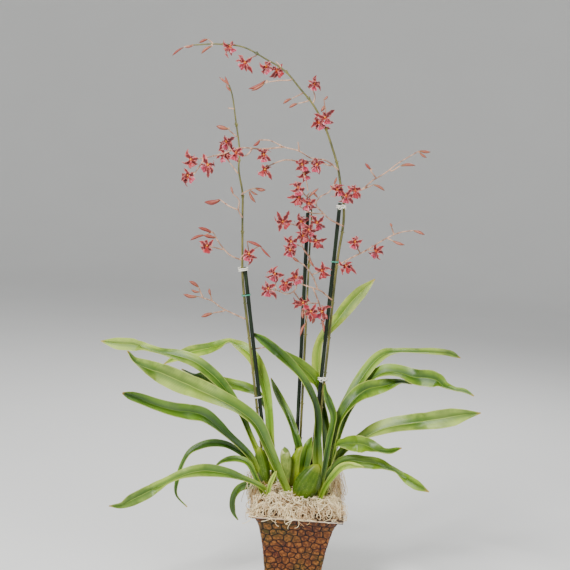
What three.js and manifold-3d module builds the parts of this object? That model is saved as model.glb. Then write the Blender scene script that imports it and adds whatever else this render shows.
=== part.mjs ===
// Potted oncidium orchid: bulbs, strap leaves and staked flower spikes in a square metal planter.
// Millimetres, Z up. The origin is the centre of the planter's underside, and -Y is the front.
import * as THREE from "three";
import { mergeVertices } from "three/addons/utils/BufferGeometryUtils.js";
import Module from "manifold-3d";

const wasm = await Module();
wasm.setup();

// Driving dimensions
const CLEARANCE = 0.35;
const SMALLEST_EDGE = 0.1;
const APART = 0.004;
const RIM_HALF = 74;
const RIM_TOP = 132;
const LIP_THICKNESS = 1.5;
const POT_WALL = 2;
const POT_FLOOR = 3;
const CORNER_POWER = 16;
const SCALE_COURSE = 8;
const SCALE_RELIEF = 1;
const SCALES_PER_SIDE = 10;
const MIX_TOP = 111;
const WOOL_HALF = 71;
const WOOL_EDGE = 137;
const WOOL_RISE = 12;
const STAKE_RADIUS = 3;
const SPIKE_RADIUS = 2;
const SPIKE_STEP = 32;
const TWIG_RADIUS = 1.1;
const PEDICEL_RADIUS = 0.75;
const TIE_WALL = 1.3;
const TIE_HEIGHT = 3;
const LEAF_MID_THICKNESS = 1.7;
const LEAF_EDGE_THICKNESS = 0.8;
const TEPAL_LENGTH = 15.5;
const TEPAL_WIDTH = 5;
const TEPAL_COUNT = 5;
const LIP_LENGTH = 11;
const LIP_WIDTH = 9;
const VALLEY_RADIUS = 2;
const COLUMN_DEPTH = 1.7;
const RHIZOME_RADIUS = 5.5;
const ROOT_RADIUS = 1.7;

// The pot's outer half width at each height, a trumpet that flares to the lip
const POT_PROFILE = [[0, 41], [38, 43.8], [77, 49.3], [100, 54.4], [111, 57.3], [120, 61], [127.5, 65.2]];

// A level picture of the plant, 570 units square, taken from the front and a little above.
// Routes give places in it, and a depth in millimetres behind the pot's middle.
const PICTURE = 570;
const LENS = 1156;
const EYE_DISTANCE = 1800;
const EYE_PITCH = 6.5;
const EYE_ROLL = 4;
const AIM = new THREE.Vector3(-43, 0, 483);
const UNIT = EYE_DISTANCE / LENS;

// Straight stakes: a high and a low place on each
const STAKES = {
  left: { top: [244.8, 267, 12], foot: [263, 430, 14] },
  middle: { top: [308, 209, 62], foot: [297.5, 425, 46] },
  right: { top: [340, 203, 22], foot: [314.5, 440, 16] },
};
const STAKE_END = 562;

// Ties: the stake, the height on it, and the side on which the flower spike runs
const TIES = {
  tie_left_top: ["left", 269, -1],
  tie_left_upper: ["left", 295, -1],
  tie_left_lower: ["left", 397, -1],
  tie_middle_top: ["middle", 212, 1],
  tie_right_top: ["right", 207, 1],
  tie_right_upper: ["right", 262, 1],
  tie_right_lower: ["right", 379, 1],
};
const SPIKE_ASIDE = 3.5;

// Bulbs: base, apex, seen width, thickness and how far the widest place lies along it
const BULBS = {
  bulb_left: { base: [266.5, 487, 2], apex: [258.5, 446, 3], width: 21, thickness: 13, belly: 0.5 },
  bulb_front: { base: [297.5, 501, -15], apex: [319, 464, -13], width: 38, thickness: 20, belly: 0.44 },
  bulb_back: { base: [292.5, 491, 14], apex: [302, 446, 15], width: 31, thickness: 17, belly: 0.45 },
  bulb_old: { base: [288.5, 486, -3], apex: [284.5, 446.5, -2], width: 17, thickness: 10, belly: 0.66 },
  bulb_right: { base: [323.5, 491, 9], apex: [328, 458, 9], width: 16, thickness: 12, belly: 0.4 },
};

// Leaves: depths at the base, the middle and the tip, the strap's real width, and places with seen widths
const LEAVES = {
  leaf_left_1: { deep: [3, 22, 70], width: 21, route: [
    [258, 452, 6], [249, 432, 5], [241, 413, 6], [228, 392, 9], [214, 376, 12], [195, 361.5, 12],
    [178, 355.5, 10.5], [158, 351, 5.5], [147, 348, 6], [132, 344.5, 13], [118, 343.5, 12.5], [101, 341, 1]] },
  leaf_left_2: { deep: [-11, -14, -70], width: 34, route: [
    [289, 496, 6], [280, 475, 8], [268, 447, 10], [256, 423, 10], [240, 409.5, 11], [222, 399.5, 14],
    [203, 391, 18], [180, 381.5, 22], [162, 373.5, 20], [147, 367.5, 12], [134, 360.5, 3], [127.5, 351, 1]] },
  leaf_left_3: { deep: [-4, -32, -100], width: 25, route: [
    [258, 473, 6], [252, 459, 6.5], [243, 449, 6], [230, 437, 5.5], [216, 424, 8.5], [203, 415, 13],
    [190, 412, 15.5], [175, 410, 12.5], [158, 405.5, 10.5], [142, 399.5, 9.5], [130, 395.5, 8], [122.5, 393, 2]] },
  leaf_left_4: { deep: [5, 32, 105], width: 21, route: [
    [273, 470, 7], [270.5, 440, 8], [269.5, 420, 8.5], [267.5, 400, 8.5], [263, 378, 11], [255, 360, 13],
    [246, 350, 12], [238, 345, 8], [230, 341.5, 3], [221, 344.5, 8.5], [207, 348.5, 12], [192, 351.5, 13],
    [178, 356.5, 9], [164, 364, 1]] },
  leaf_left_5: { deep: [16, 40, 76], width: 19, route: [
    [275, 492, 5], [273, 462, 5], [270, 430, 5], [266, 409, 5], [257, 393.5, 6], [245, 387.5, 10], [231, 384, 11],
    [216, 380.5, 12], [204, 376.5, 10], [194, 375.5, 3], [181.5, 369, 1]] },
  leaf_left_6: { deep: [5, -18, -45], width: 13, route: [
    [258, 473, 5], [248, 458, 6], [238, 450.5, 6], [226, 444.5, 6.5], [212, 443, 7.5], [200, 446, 6.5],
    [190, 452, 4.5], [182.5, 464, 4], [178, 478, 4], [176.5, 494, 2.5], [187, 507, 1]] },
  leaf_left_7: { deep: [-13, -12, 15], width: 11, route: [
    [264, 496, 4], [257, 480, 5], [248, 463, 5.5], [239, 459, 6], [230, 459, 5.5], [222, 461.5, 3], [215, 466.5, 1]] },
  leaf_left_8: { deep: [-13, -50, -110], width: 21, route: [
    [270, 499, 4], [264, 489, 5], [253, 482.5, 4], [243, 478.5, 4.5], [232, 474.5, 7], [220, 472, 9.5], [205, 470.5, 12],
    [192, 472, 10.5], [180, 475.5, 7], [168, 481, 5.5], [157, 487, 9.5], [145, 493.5, 12.5], [132, 500, 12],
    [121, 505.5, 6], [109, 506, 1]] },
  leaf_left_9: { deep: [10, 22, 30], width: 13, route: [
    [263, 488, 5], [254, 485.5, 7], [245, 485.5, 8.5], [238.5, 489, 7], [234, 496, 6], [232.5, 505, 6],
    [234, 513, 4], [238, 520, 1]] },
  leaf_middle_1: { deep: [17, 42, 100], width: 14, route: [
    [301, 453, 7], [298, 443, 8], [294, 430, 7], [289, 416, 7], [282, 402, 7.5], [276, 390, 6], [271, 378, 1]] },
  leaf_middle_2: { deep: [-13, 0, 21], width: 21, route: [
    [318, 472, 9], [317.5, 455, 10], [317.5, 437, 7.5], [317.5, 420, 7.5], [315, 404, 6.5], [310, 391.5, 6.2],
    [303, 379.5, 6], [295, 369, 8], [286, 359.5, 9.5], [275, 349.5, 10.5], [263, 340, 9], [251.5, 332.5, 1]] },
  leaf_middle_3: { deep: [3, 31, 36], width: 24, route: [
    [325, 494, 5], [326, 466, 6], [324.5, 440, 6.5], [322.5, 415, 6], [320, 395, 5], [317, 383, 9], [311, 375, 14],
    [304, 368.5, 13], [296, 361.5, 9], [288, 355.5, 5], [281, 350, 1]] },
  leaf_right_1: { deep: [20, 46, 82], width: 24, route: [
    [325, 492, 5], [330, 466, 6], [328, 430, 6], [323, 402, 5], [318.5, 380, 5], [317.3, 365, 8.5], [317.8, 352, 9],
    [321, 340, 7], [328, 331, 9], [338, 319, 12], [349, 305, 14.5], [360, 293, 13], [375, 279, 1]] },
  leaf_right_2: { deep: [-9, -20, -16], width: 13, route: [
    [319, 498, 4], [324, 470, 5], [329.5, 440, 6], [333, 425, 5], [333.5, 414, 7], [329, 402, 7.5], [326, 392, 4],
    [325, 383, 1]] },
  leaf_right_3: { deep: [3, 12, 90], width: 20, route: [
    [324, 495, 5], [328, 470, 6], [332, 450, 6], [337, 428, 6], [342, 411, 7], [350, 396, 8], [358, 383, 10], [367, 370, 11],
    [376, 359.5, 11], [386, 353, 8.5], [400, 351.2, 3.6], [418, 351.5, 4], [435, 351.7, 6.5],
    [450, 353.3, 6.5], [460.5, 358, 1]] },
  leaf_right_4: { deep: [15, 16, -30], width: 27, route: [
    [326, 492, 5], [330, 468, 6], [338, 438, 6], [347, 413, 7], [357, 397, 7], [366, 384.5, 6], [374, 376, 7],
    [386, 371, 10.5], [400, 372, 11], [415, 377, 15.5], [430, 378.5, 17.5], [438, 381, 14], [445, 386, 6],
    [455, 389.5, 3], [464, 391, 4], [474, 396, 1]] },
  leaf_right_5: { deep: [5, -12, 22], width: 27, route: [
    [323, 494, 5], [328, 470, 6], [332, 445, 7], [337, 424, 8], [344, 411, 8.5], [352, 400.5, 11], [361, 392.5, 15.5],
    [370, 388.5, 17], [380, 386.5, 14.5], [390, 384, 10], [400, 381.8, 4], [412, 384, 1]] },
  leaf_right_6: { deep: [13, 10, -40], width: 30, route: [
    [325, 492, 5], [330, 470, 6], [344, 450, 7], [355, 442.5, 7], [364, 436.5, 7], [371, 432.5, 8.5], [381, 428.4, 12],
    [393, 425.3, 14.2], [408, 423.2, 15], [425, 421, 17], [440, 419, 19], [453, 416.8, 18], [464, 414.8, 12],
    [481, 413, 1]] },
  leaf_right_7: { deep: [0, -30, -95], width: 26, route: [
    [323, 494, 4], [328, 472, 4], [334, 454, 3.5], [338, 444.5, 3.5], [344, 443.2, 8], [352, 443.5, 14], [360, 444, 17],
    [368, 446, 14], [375, 449, 8], [382, 451, 3], [391, 451.5, 4], [401.5, 448, 1]] },
  leaf_right_8: { deep: [-7, -35, -95], width: 20, route: [
    [316, 500, 5], [320, 490, 6], [326, 479, 7], [334, 468.5, 8], [343, 461.5, 9], [353, 460.5, 11], [364, 462.2, 12],
    [373, 463.2, 12], [381, 465, 9], [389, 468.5, 5], [396, 471.5, 3], [403, 476.3, 6], [409.5, 480.7, 10],
    [415.5, 484.5, 10], [429, 492, 1]] },
  leaf_right_9: { deep: [-17, -40, -60], width: 12, route: [
    [318, 504, 4], [325, 487, 5], [334, 474.5, 6], [341, 467.5, 7], [349, 465.2, 7], [356, 466, 4.5], [364, 467.3, 1]] },
  shoot_front: { deep: [-22, -22, -24], width: 8, route: [
    [267.5, 497, 3.5], [270, 485, 4.5], [273.5, 477, 4], [276.5, 471, 1]] },
  sheath_back: { deep: [6, 6, 9], width: 16, route: [
    [303, 472, 9], [306, 456, 12], [308.5, 446, 9], [312, 437, 1]] },
};

// Flower spikes: heights where the stem follows its stake, then its free route, and what it carries.
// A spray's depth grows from its root at the rate swing.
// A bud is its two ends and its seen width. A flower is its middle, a step in depth, and its tepal tips.
const SPIKES = {
  spike_right: {
    stake: "right", side: 1, climb: [474, 400, 330, 262],
    root: [343, 205, 22], swing: 0.2,
    stem: [[343.5, 222], [343.5, 203], [341, 188], [338, 168], [333, 150], [325, 127], [313, 104.5], [300, 88.5],
      [285, 71], [265, 58.5], [243, 47], [216, 44], [194, 45]],
    twigs: [[[213, 43.5], [208, 39]], [[257, 55], [249, 58.5]], [[281, 67], [276, 61.5]],
      [[291, 80], [280, 80.5], [268, 82]], [[303, 93], [292, 98.5]], [[308, 101], [298, 103.5]],
      [[313, 103], [315, 97], [313, 90]], [[325, 118], [324, 99]], [[335, 157], [331, 142]]],
    buds: [[[194, 45], [184, 47], 3], [[184, 47], [172, 56], 3], [[208, 39], [199, 43], 4], [[212, 46], [201, 54], 4],
      [[266, 80], [248, 89], 5], [[265, 83], [251, 91], 4], [[292, 98.5], [283, 104], 4],
      [[298, 103.5], [289, 108], 4], [[324, 100], [328, 96], 3], [[325, 105], [321, 112], 4]],
    flowers: [[230, 47, -6, [222, 41], [226, 58], [231, 56], [235, 42]],
      [245, 63, -6, [238, 54], [253, 74], [253, 58], [235, 60], [246, 72]],
      [266, 67, -8, [259, 65], [263, 75], [275, 70]], [277, 71, 6, [269, 78], [274, 79], [283, 64]],
      [314, 84, -5, [316, 75], [322, 90], [310, 81], [307, 88]],
      [325, 118, -12, [335, 109], [334, 124], [313, 114], [321, 127]],
      [319, 123, -3, [310, 127], [317, 131], [331, 130], [314, 116]],
      [337, 190, -9, [330, 186], [333, 198], [343, 184]], [346, 196, -9, [354, 204], [352, 188], [339, 203]]] },
  spike_middle: {
    stake: "middle", side: 1, climb: [470, 400, 330, 262],
    root: [311, 218, 60], swing: -0.3,
    stem: [[311.4, 218], [311.5, 205]],
    twigs: [[[311, 232], [298, 226], [283, 222]], [[309, 256], [304, 250], [300, 240]], [[309, 256], [313, 266]],
      [[303, 247], [291, 243]]],
    buds: [[[309.5, 259], [314, 267], 3.5]],
    flowers: [[283, 222, -4, [276, 211], [290, 210], [273, 218], [293, 221], [278, 232]],
      [301, 222, -10, [298, 213], [300, 233], [310, 218]], [317, 223, -12, [325, 216], [326, 228], [310, 214], [313, 234]],
      [303, 236, -6, [296, 232], [300, 244], [310, 242]],
      [291, 242, -6, [285, 252], [292, 251], [283, 237], [299, 238]],
      [316, 241, -14, [328, 239], [313, 249], [325, 249], [312, 233]],
      [309, 230, -20, [303, 223], [317, 232], [305, 238]], [290, 250, -12, [283, 256], [295, 257], [284, 245]]] },
  spike_left: {
    stake: "left", side: -1, climb: [474, 410, 350, 280],
    root: [242, 262, 12], swing: 0.08,
    stem: [[242.4, 250], [242.5, 217], [242.5, 193], [238.8, 170], [239.5, 150], [236, 122], [232, 94], [229, 85]],
    twigs: [[[235, 109], [228, 108]], [[237.5, 137], [229, 130]], [[238.8, 174], [230, 163]],
      [[252, 349], [260, 348], [267, 347]]],
    buds: [[[229, 85], [219, 77], 3], [[232, 92], [226, 84], 3], [[230, 87], [225, 76], 3], [[229, 129], [216, 126], 6],
      [[230, 163], [228, 159], 2]],
    flowers: [] },
};

const SPRAYS = {
  spray_right_1: {
    root: [338, 168, 25], swing: -0.46,
    twigs: [[[337.5, 169], [326, 160.5], [311, 158], [299, 151], [284, 147], [270, 140.5], [259, 140]],
      [[284, 147], [262, 149], [240, 148], [222, 154], [203, 158], [192, 159]],
      [[299, 150], [298, 142]], [[331, 165.5], [315, 161], [305, 162]], [[302, 162], [285, 160], [268, 166]],
      [[252, 149], [245, 156], [236, 153]], [[203, 160], [195, 173]], [[303, 172], [306, 180], [308, 191]]],
    buds: [[[260, 140], [253, 146], 4]],
    flowers: [[191, 160, 0, [186, 149], [193, 156], [182, 164], [198, 165]],
      [188, 176, 0, [181, 180], [185, 187], [185, 168], [195, 172]],
      [208, 165, -4, [203, 153], [213, 174], [208, 179], [199, 168]],
      [224, 155, 4, [220, 150], [229, 161], [216, 158]],
      [236, 153, -5, [228, 157], [245, 156], [238, 163], [243, 147]],
      [226, 142, 6, [235, 137], [220, 144], [225, 136], [218, 151], [233, 149]],
      [264, 155, -4, [257, 160], [271, 162], [258, 149], [270, 149]],
      [265, 170, 4, [262, 165], [264, 177], [273, 180], [257, 173]],
      [302, 165, -4, [295, 161], [310, 161], [296, 171], [306, 158]],
      [304, 174, 4, [304, 183], [312, 171], [297, 178]],
      [317, 165, -6, [320, 175], [310, 169], [325, 162], [315, 156]]] },
  spray_right_2: {
    root: [344, 193, 23], swing: 0.45,
    twigs: [[[343.5, 194], [353, 191], [361, 190], [372, 181], [386, 172.5], [397, 164], [419, 151]],
      [[361, 190], [373, 185]], [[391, 171], [400, 166]], [[376, 178], [370, 170]]],
    buds: [[[373, 184.5], [385, 191], 4], [[419, 151], [431, 152], 4.5], [[419, 152], [427, 158], 3.5],
      [[400, 166], [416, 165.5], 4.5], [[371, 170], [365, 163], 4]],
    flowers: [[355, 191, -8, [347, 186], [362, 187], [352, 199], [361, 199]]] },
  spray_right_3: {
    root: [337, 265, 20], swing: -0.45,
    twigs: [[[338, 265], [350, 258.5], [365, 251], [387, 238], [400, 232.5], [413, 230.5]], [[394, 234.5], [391.5, 227]],
      [[387, 238], [393, 241]], [[360, 253], [355, 243]], [[368, 250], [376, 251]]],
    buds: [[[413, 230.5], [425, 235], 4], [[392, 227], [390, 223], 3], [[392, 240.5], [405, 245], 4]],
    flowers: [[355, 242, -6, [347, 243], [353, 236], [363, 240], [358, 251]],
      [376, 251, -6, [384, 246], [385, 254], [368, 254], [379, 261]],
      [346, 266, -8, [351, 262], [354, 267], [358, 274], [341, 275], [338, 261]]] },
  spray_right_4: {
    root: [343, 226, 19], swing: -0.5,
    twigs: [[[343, 226], [331, 220], [324, 214], [316, 204], [320, 197], [329, 192], [334, 184]],
      [[316, 204], [306, 196], [301, 190]], [[324, 214], [310, 212.5], [299, 206]]],
    buds: [[[308, 198], [319, 188], 3.5], [[334, 185], [337, 177], 3], [[311, 192], [318, 198], 3]],
    flowers: [[298, 188, -4, [290, 183], [303, 181], [291, 192], [306, 190]],
      [299, 198, -8, [286, 197], [290, 204], [307, 203], [302, 207]], [309, 204, -14, [316, 209], [317, 199], [302, 199]]] },
  spray_right_5: {
    root: [331, 300, 19], swing: -0.55,
    twigs: [[[332, 300], [321, 291], [313, 288], [304, 285], [298, 283], [295, 290], [288, 294], [276, 290]],
      [[313, 288], [319, 303], [321, 311]], [[318, 303], [305, 303]], [[318, 290], [313, 277], [305, 266], [299, 262]],
      [[294, 292], [302, 303]], [[303, 303], [304, 312]]],
    buds: [[[299, 262], [292.5, 257], 4], [[303, 309], [303, 319], 4], [[314, 315], [312, 324], 4],
      [[307, 322], [300, 337], 3.5], [[321, 318], [324, 333], 3.5]],
    flowers: [[322, 271, -6, [323, 261], [313, 267], [332, 268], [320, 281], [331, 277]],
      [275, 274, 4, [276, 266], [266, 271], [265, 278], [285, 276], [277, 284]],
      [268, 289, -6, [265, 281], [261, 297], [278, 299], [276, 284]],
      [296, 277, 6, [298, 268], [286, 281], [293, 287], [305, 281]], [286, 284, -10, [278, 288], [288, 293], [294, 280]],
      [303, 303, -4, [292, 299], [291, 304], [293, 309], [309, 296]],
      [311, 312, -12, [302, 308], [310, 323], [316, 303]], [322, 312, -4, [331, 305], [328, 320], [323, 325]]] },
  spray_left_1: {
    root: [242, 193, 12], swing: -0.4,
    twigs: [[[242, 194], [249, 190], [256, 188]]],
    buds: [[[255, 188], [266, 190], 5], [[249, 190.5], [256, 203], 4], [[250, 190], [258, 195], 3]],
    flowers: [] },
  spray_left_2: {
    root: [242, 217, 12], swing: 0.5,
    twigs: [[[242, 217], [238.5, 210], [239, 200], [233, 194]], [[238.5, 210], [229, 206], [220, 199.5]]],
    buds: [[[233.5, 194.5], [231, 186], 3], [[221, 199.5], [204, 202], 7]],
    flowers: [] },
  spray_left_3: {
    root: [242, 260, 12], swing: -0.35,
    twigs: [[[242, 260], [230, 255], [220, 244], [213, 232]], [[224, 249.5], [208, 246]],
      [[242, 256], [249, 253]]],
    buds: [[[213, 233], [198, 227.5], 5], [[216, 238], [203, 235], 5], [[205, 235], [190, 240.5], 4],
      [[247, 241], [262, 247], 4.5], [[260, 246], [271, 258], 3]],
    flowers: [[207, 246, -5, [199, 241], [200, 250], [214, 240], [212, 252]],
      [249, 254, -8, [257, 259], [250, 266], [243, 258], [255, 248]]] },
  spray_left_4: {
    root: [246, 319, 13], swing: -0.45,
    twigs: [[[246, 319], [233, 313.5], [221, 307.5], [212, 301], [198, 296.5]], [[203, 298], [198, 286]],
      [[212, 301], [210.5, 295]], [[225, 310.5], [213, 313]]],
    buds: [[[198, 296.5], [183, 294], 5], [[199, 287.5], [189, 281], 5], [[200, 292], [191, 289.5], 3.5],
      [[211, 296], [209.5, 288], 3.5], [[213, 313], [201, 317], 5]],
    flowers: [] },
};

// The rhizome lies under the wood wool and joins the bulbs
const RHIZOME = [[-56, 2, 153], [-30, 5, 148], [-9, 5, 146], [8, -6, 140], [41, 7, 149]];
const ROOT_COUNT = 5;
const ROOT_DEPTH = 55;

// Swellings of the wood wool: middle, height and spread
const WOOL_SWELLS = [[-52, 8, 14, 26], [-60, 48, 32, 20], [50, 30, 10, 24], [60, 50, 26, 19], [0, 40, 8, 40]];
const STRAND_COUNT = 9;
const STRAND_RADIUS = 0.9;

const COLOURS = {
  pot: [0x9a6a44, 0.38, 0.9],
  wool: [0xd9c9a3, 0.9, 0],
  mix: [0x4a3423, 0.95, 0],
  root: [0xb9b08a, 0.8, 0],
  bulb: [0x8ea33c, 0.45, 0],
  leaf: [0x7fa336, 0.5, 0],
  stem: [0x66703a, 0.6, 0],
  bloom: [0xb0493f, 0.6, 0],
  stake: [0x2f4a34, 0.55, 0],
  tie: [0xe4e2d2, 0.6, 0],
};

const group = new THREE.Group();
const placed = [];

// A repeatable random number from 0 to 1
let seed = 20417;
function random() {
  seed = (seed * 16807) % 2147483647;
  return seed / 2147483647;
}

const deg = THREE.MathUtils.degToRad;
const forward = new THREE.Vector3(0, Math.cos(deg(EYE_PITCH)), -Math.sin(deg(EYE_PITCH)));
const level = new THREE.Vector3(0, Math.sin(deg(EYE_PITCH)), Math.cos(deg(EYE_PITCH)));
const rightward = new THREE.Vector3(Math.cos(deg(EYE_ROLL)), 0, 0).addScaledVector(level, Math.sin(deg(EYE_ROLL)));
const upward = new THREE.Vector3(-Math.sin(deg(EYE_ROLL)), 0, 0).addScaledVector(level, Math.cos(deg(EYE_ROLL)));
const eye = AIM.clone().addScaledVector(forward, -EYE_DISTANCE);

// The point at a picture place and a depth
function seen(px, py, depth) {
  const ray = forward.clone();
  ray.addScaledVector(rightward, (px - PICTURE / 2) / LENS);
  ray.addScaledVector(upward, (PICTURE / 2 - py) / LENS);
  return eye.clone().addScaledVector(ray, (depth - eye.y) / ray.y);
}

// A place on a stake at a picture height, moved sideways by aside
function onStake(name, py, aside = 0) {
  const { top, foot } = STAKES[name];
  const t = (py - top[1]) / (foot[1] - top[1]);
  const px = THREE.MathUtils.lerp(top[0], foot[0], t);
  return seen(px + aside, py, THREE.MathUtils.lerp(top[2], foot[2], t));
}

function toSolid(geometry) {
  geometry.deleteAttribute("normal");
  geometry.deleteAttribute("uv");
  const merged = mergeVertices(geometry, 1e-4);
  const mesh = new wasm.Mesh({
    numProp: 3,
    vertProperties: Float32Array.from(merged.attributes.position.array),
    triVerts: Uint32Array.from(merged.index.array),
  });
  return new wasm.Manifold(mesh);
}

// Skin through rings of points, each as long as the next or a single point.
// Each square between two rings is split by a diagonal, which goes the other way where turned(row, place) says.
function loft(rings, turned = () => false) {
  const positions = [];
  const triangle = (a, b, c) => positions.push(...a.toArray(), ...b.toArray(), ...c.toArray());
  const count = Math.max(...rings.map((ring) => ring.length));
  for (let i = 0; i + 1 < rings.length; i++) {
    const [low, high] = [rings[i], rings[i + 1]];
    for (let k = 0; k < count; k++) {
      const next = (k + 1) % count;
      if (low.length === 1) triangle(low[0], high[next], high[k]);
      else if (high.length === 1) triangle(low[k], low[next], high[0]);
      else if (turned(i, k)) {
        triangle(low[k], low[next], high[k]);
        triangle(low[next], high[next], high[k]);
      } else {
        triangle(low[k], low[next], high[next]);
        triangle(low[k], high[next], high[k]);
      }
    }
  }
  closeEnd(rings[0], triangle, true);
  closeEnd(rings.at(-1), triangle, false);
  const geometry = new THREE.BufferGeometry();
  geometry.setAttribute("position", new THREE.Float32BufferAttribute(positions, 3));
  return geometry;
}

// Closes a ring with strips between its two halves
function closeEnd(ring, triangle, reversed) {
  const place = (a, b, c) => (reversed ? triangle(a, c, b) : triangle(a, b, c));
  const last = ring.length - 1;
  for (let k = 0; k < last - k; k++) {
    if (k + 1 < last - k) place(ring[k], ring[k + 1], ring[last - k]);
    if (k + 1 < last - k - 1) place(ring[k + 1], ring[last - k - 1], ring[last - k]);
  }
}

const smooth = (points) => new THREE.CatmullRomCurve3(points, false, "centripetal");
const stepsAlong = (path, spacing) => Math.max(1, Math.round(path.getLength() / spacing));

const cornersOf = (points, spacing) => smooth(points).getSpacedPoints(stepsAlong(smooth(points), spacing));

// A round stem along a route
function stem(points, radius, sides = 5, spacing = 12) {
  const path = smooth(points);
  const steps = stepsAlong(path, spacing);
  const corners = [];
  for (let k = 0; k < sides; k++) {
    const angle = (k / sides) * 2 * Math.PI;
    corners.push(new THREE.Vector2(radius * Math.cos(angle), radius * Math.sin(angle)));
  }
  const options = { steps, extrudePath: path, bevelEnabled: false };
  return toSolid(new THREE.ExtrudeGeometry(new THREE.Shape(corners), options));
}

// The value at t of a curve through three evenly spaced values
function through(values, t) {
  const [a, b, c] = values;
  return 2 * a * (t - 0.5) * (t - 1) - 4 * b * t * (t - 1) + 2 * c * t * (t - 0.5);
}

// How wide a strap leaf is along its length: a folded foot, a long blade and a pointed tip
function strapWidth(t) {
  const foot = 0.42 + 0.58 * THREE.MathUtils.smoothstep(t, 0.05, 0.42);
  return foot * Math.pow(Math.max(0, 1 - Math.pow(t, 5)), 0.7);
}

// A strap leaf: it turns about its length until its real width looks as wide as the seen width
function leafSolid({ deep, width, route }, grow = 0) {
  const last = route.length - 1;
  const lengths = [0];
  for (let i = 1; i <= last; i++) {
    lengths.push(lengths[i - 1] + Math.hypot(route[i][0] - route[i - 1][0], route[i][1] - route[i - 1][1]));
  }
  const points = route.map(([px, py], i) => seen(px, py, through(deep, lengths[i] / lengths[last])));
  const path = smooth(points);
  const widths = new THREE.CatmullRomCurve3(route.map(([, , seenWidth]) => new THREE.Vector3(seenWidth * UNIT, 0, 0)));
  const goesLeft = route[last][0] < route[0][0];
  const rings = [];
  for (let i = 0; i <= last; i++) {
    rings.push(leafRing(path, widths, i / last, width, goesLeft ? 1 : -1, grow));
  }
  const back = rings[0].length / 2;
  return toSolid(loft(rings, (row, place) => place >= back));
}

function leafRing(path, widths, t, width, lean, grow) {
  const middle = path.getPoint(t);
  const along = path.getTangent(t);
  const across = new THREE.Vector3().crossVectors(forward, along).normalize();
  const away = new THREE.Vector3().crossVectors(along, across);
  const shown = Math.max(1.2, widths.getPoint(t).x);
  const real = Math.max(shown, width * strapWidth(t));
  const turn = lean * Math.acos(shown / real);
  const side = across.multiplyScalar(Math.cos(turn)).addScaledVector(away, Math.sin(turn));
  const face = new THREE.Vector3().crossVectors(side, along).normalize();
  const fold = real * (0.3 - 0.18 * THREE.MathUtils.smoothstep(t, 0, 0.4));
  const end = t === 0 ? -grow : t === 1 ? grow : 0;
  middle.addScaledVector(along, end);
  const at = (sideways, outward) => middle.clone().addScaledVector(side, sideways).addScaledVector(face, outward);
  const half = real / 2 + grow;
  const edge = LEAF_EDGE_THICKNESS / 2 + grow;
  const rib = THREE.MathUtils.lerp(LEAF_MID_THICKNESS, LEAF_EDGE_THICKNESS, t) / 2 + grow;
  return [at(half, fold / 2 - edge), at(0, -rib - fold / 2), at(-half, fold / 2 - edge),
    at(-half, edge + fold / 2), at(0, rib - fold / 2), at(half, edge + fold / 2)];
}

// A flattened bulb with low ribs, widest at its belly
function bulbSolid({ base, apex, width, thickness, belly }, grow = 0) {
  const low = seen(...base);
  const high = seen(...apex);
  const along = high.clone().sub(low).normalize();
  const across = new THREE.Vector3().crossVectors(forward, along).normalize();
  const away = new THREE.Vector3().crossVectors(along, across);
  low.addScaledVector(along, -grow);
  high.addScaledVector(along, grow);
  const rings = [];
  const [levels, sides] = [7, 10];
  for (let i = 0; i <= levels; i++) {
    const t = i / levels;
    const bend = Math.pow(t, Math.log(0.5) / Math.log(belly));
    const swell = 0.16 + 0.84 * Math.pow(Math.sin(Math.PI * bend), 0.7);
    const ring = [];
    for (let k = 0; k < sides; k++) {
      const angle = (k / sides) * 2 * Math.PI;
      const rib = 1 + 0.05 * Math.cos(6 * angle);
      const point = low.clone().lerp(high, t);
      point.addScaledVector(across, Math.cos(angle) * (swell * rib * width / 2 + grow));
      point.addScaledVector(away, Math.sin(angle) * (swell * rib * thickness / 2 + grow));
      ring.push(point);
    }
    rings.push(ring);
  }
  return toSolid(loft(rings));
}

// The angle of a picture direction, anticlockwise from the right, and its way back
const angleOf = (way) => Math.atan2(way.dot(upward), way.dot(rightward));
const wayOf = (angle) => rightward.clone().multiplyScalar(Math.cos(angle)).addScaledVector(upward, Math.sin(angle));
const gapTo = (angle, other) => Math.acos(Math.min(1, Math.cos(angle - other)));

// The tips of a flower: the tepals seen, the lip below, and the other tepals in the widest gaps
function flowerTips(middle, tips, depth) {
  const seenTips = tips.map(([px, py], i) => {
    const reach = seen(px, py, depth).sub(middle);
    const lean = Math.sqrt(Math.max(0, TEPAL_LENGTH ** 2 - reach.lengthSq()));
    return { angle: angleOf(reach), reach: reach.addScaledVector(forward, i % 2 ? 0.6 * lean : -0.4 * lean) };
  });
  const angles = seenTips.map(({ angle }) => angle);
  const clear = (angle) => Math.min(...angles.map((other) => gapTo(angle, other)));
  const downward = [-90, -70, -110, -50, -130].map(deg);
  const lip = downward.reduce((kept, angle) => (clear(angle) > clear(kept) + 0.1 ? angle : kept));
  const below = { angle: lip, reach: wayOf(lip).addScaledVector(forward, -0.6).setLength(LIP_LENGTH), wide: true };
  angles.push(lip);
  const found = [...seenTips, below];
  while (found.length < TEPAL_COUNT + 1) {
    const sorted = [...angles].sort((a, b) => a - b);
    const gaps = sorted.map((angle, i) => [angle, (sorted[i + 1] ?? sorted[0] + 2 * Math.PI) - angle]);
    const [from, gap] = gaps.reduce((kept, entry) => (entry[1] > kept[1] ? entry : kept));
    const angle = from + gap / 2;
    angles.push(Math.atan2(Math.sin(angle), Math.cos(angle)));
    found.push({ angle: angles.at(-1), reach: wayOf(angle).addScaledVector(forward, 0.4).setLength(TEPAL_LENGTH * 0.85) });
  }
  return found.sort((a, b) => a.angle - b.angle);
}

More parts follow.
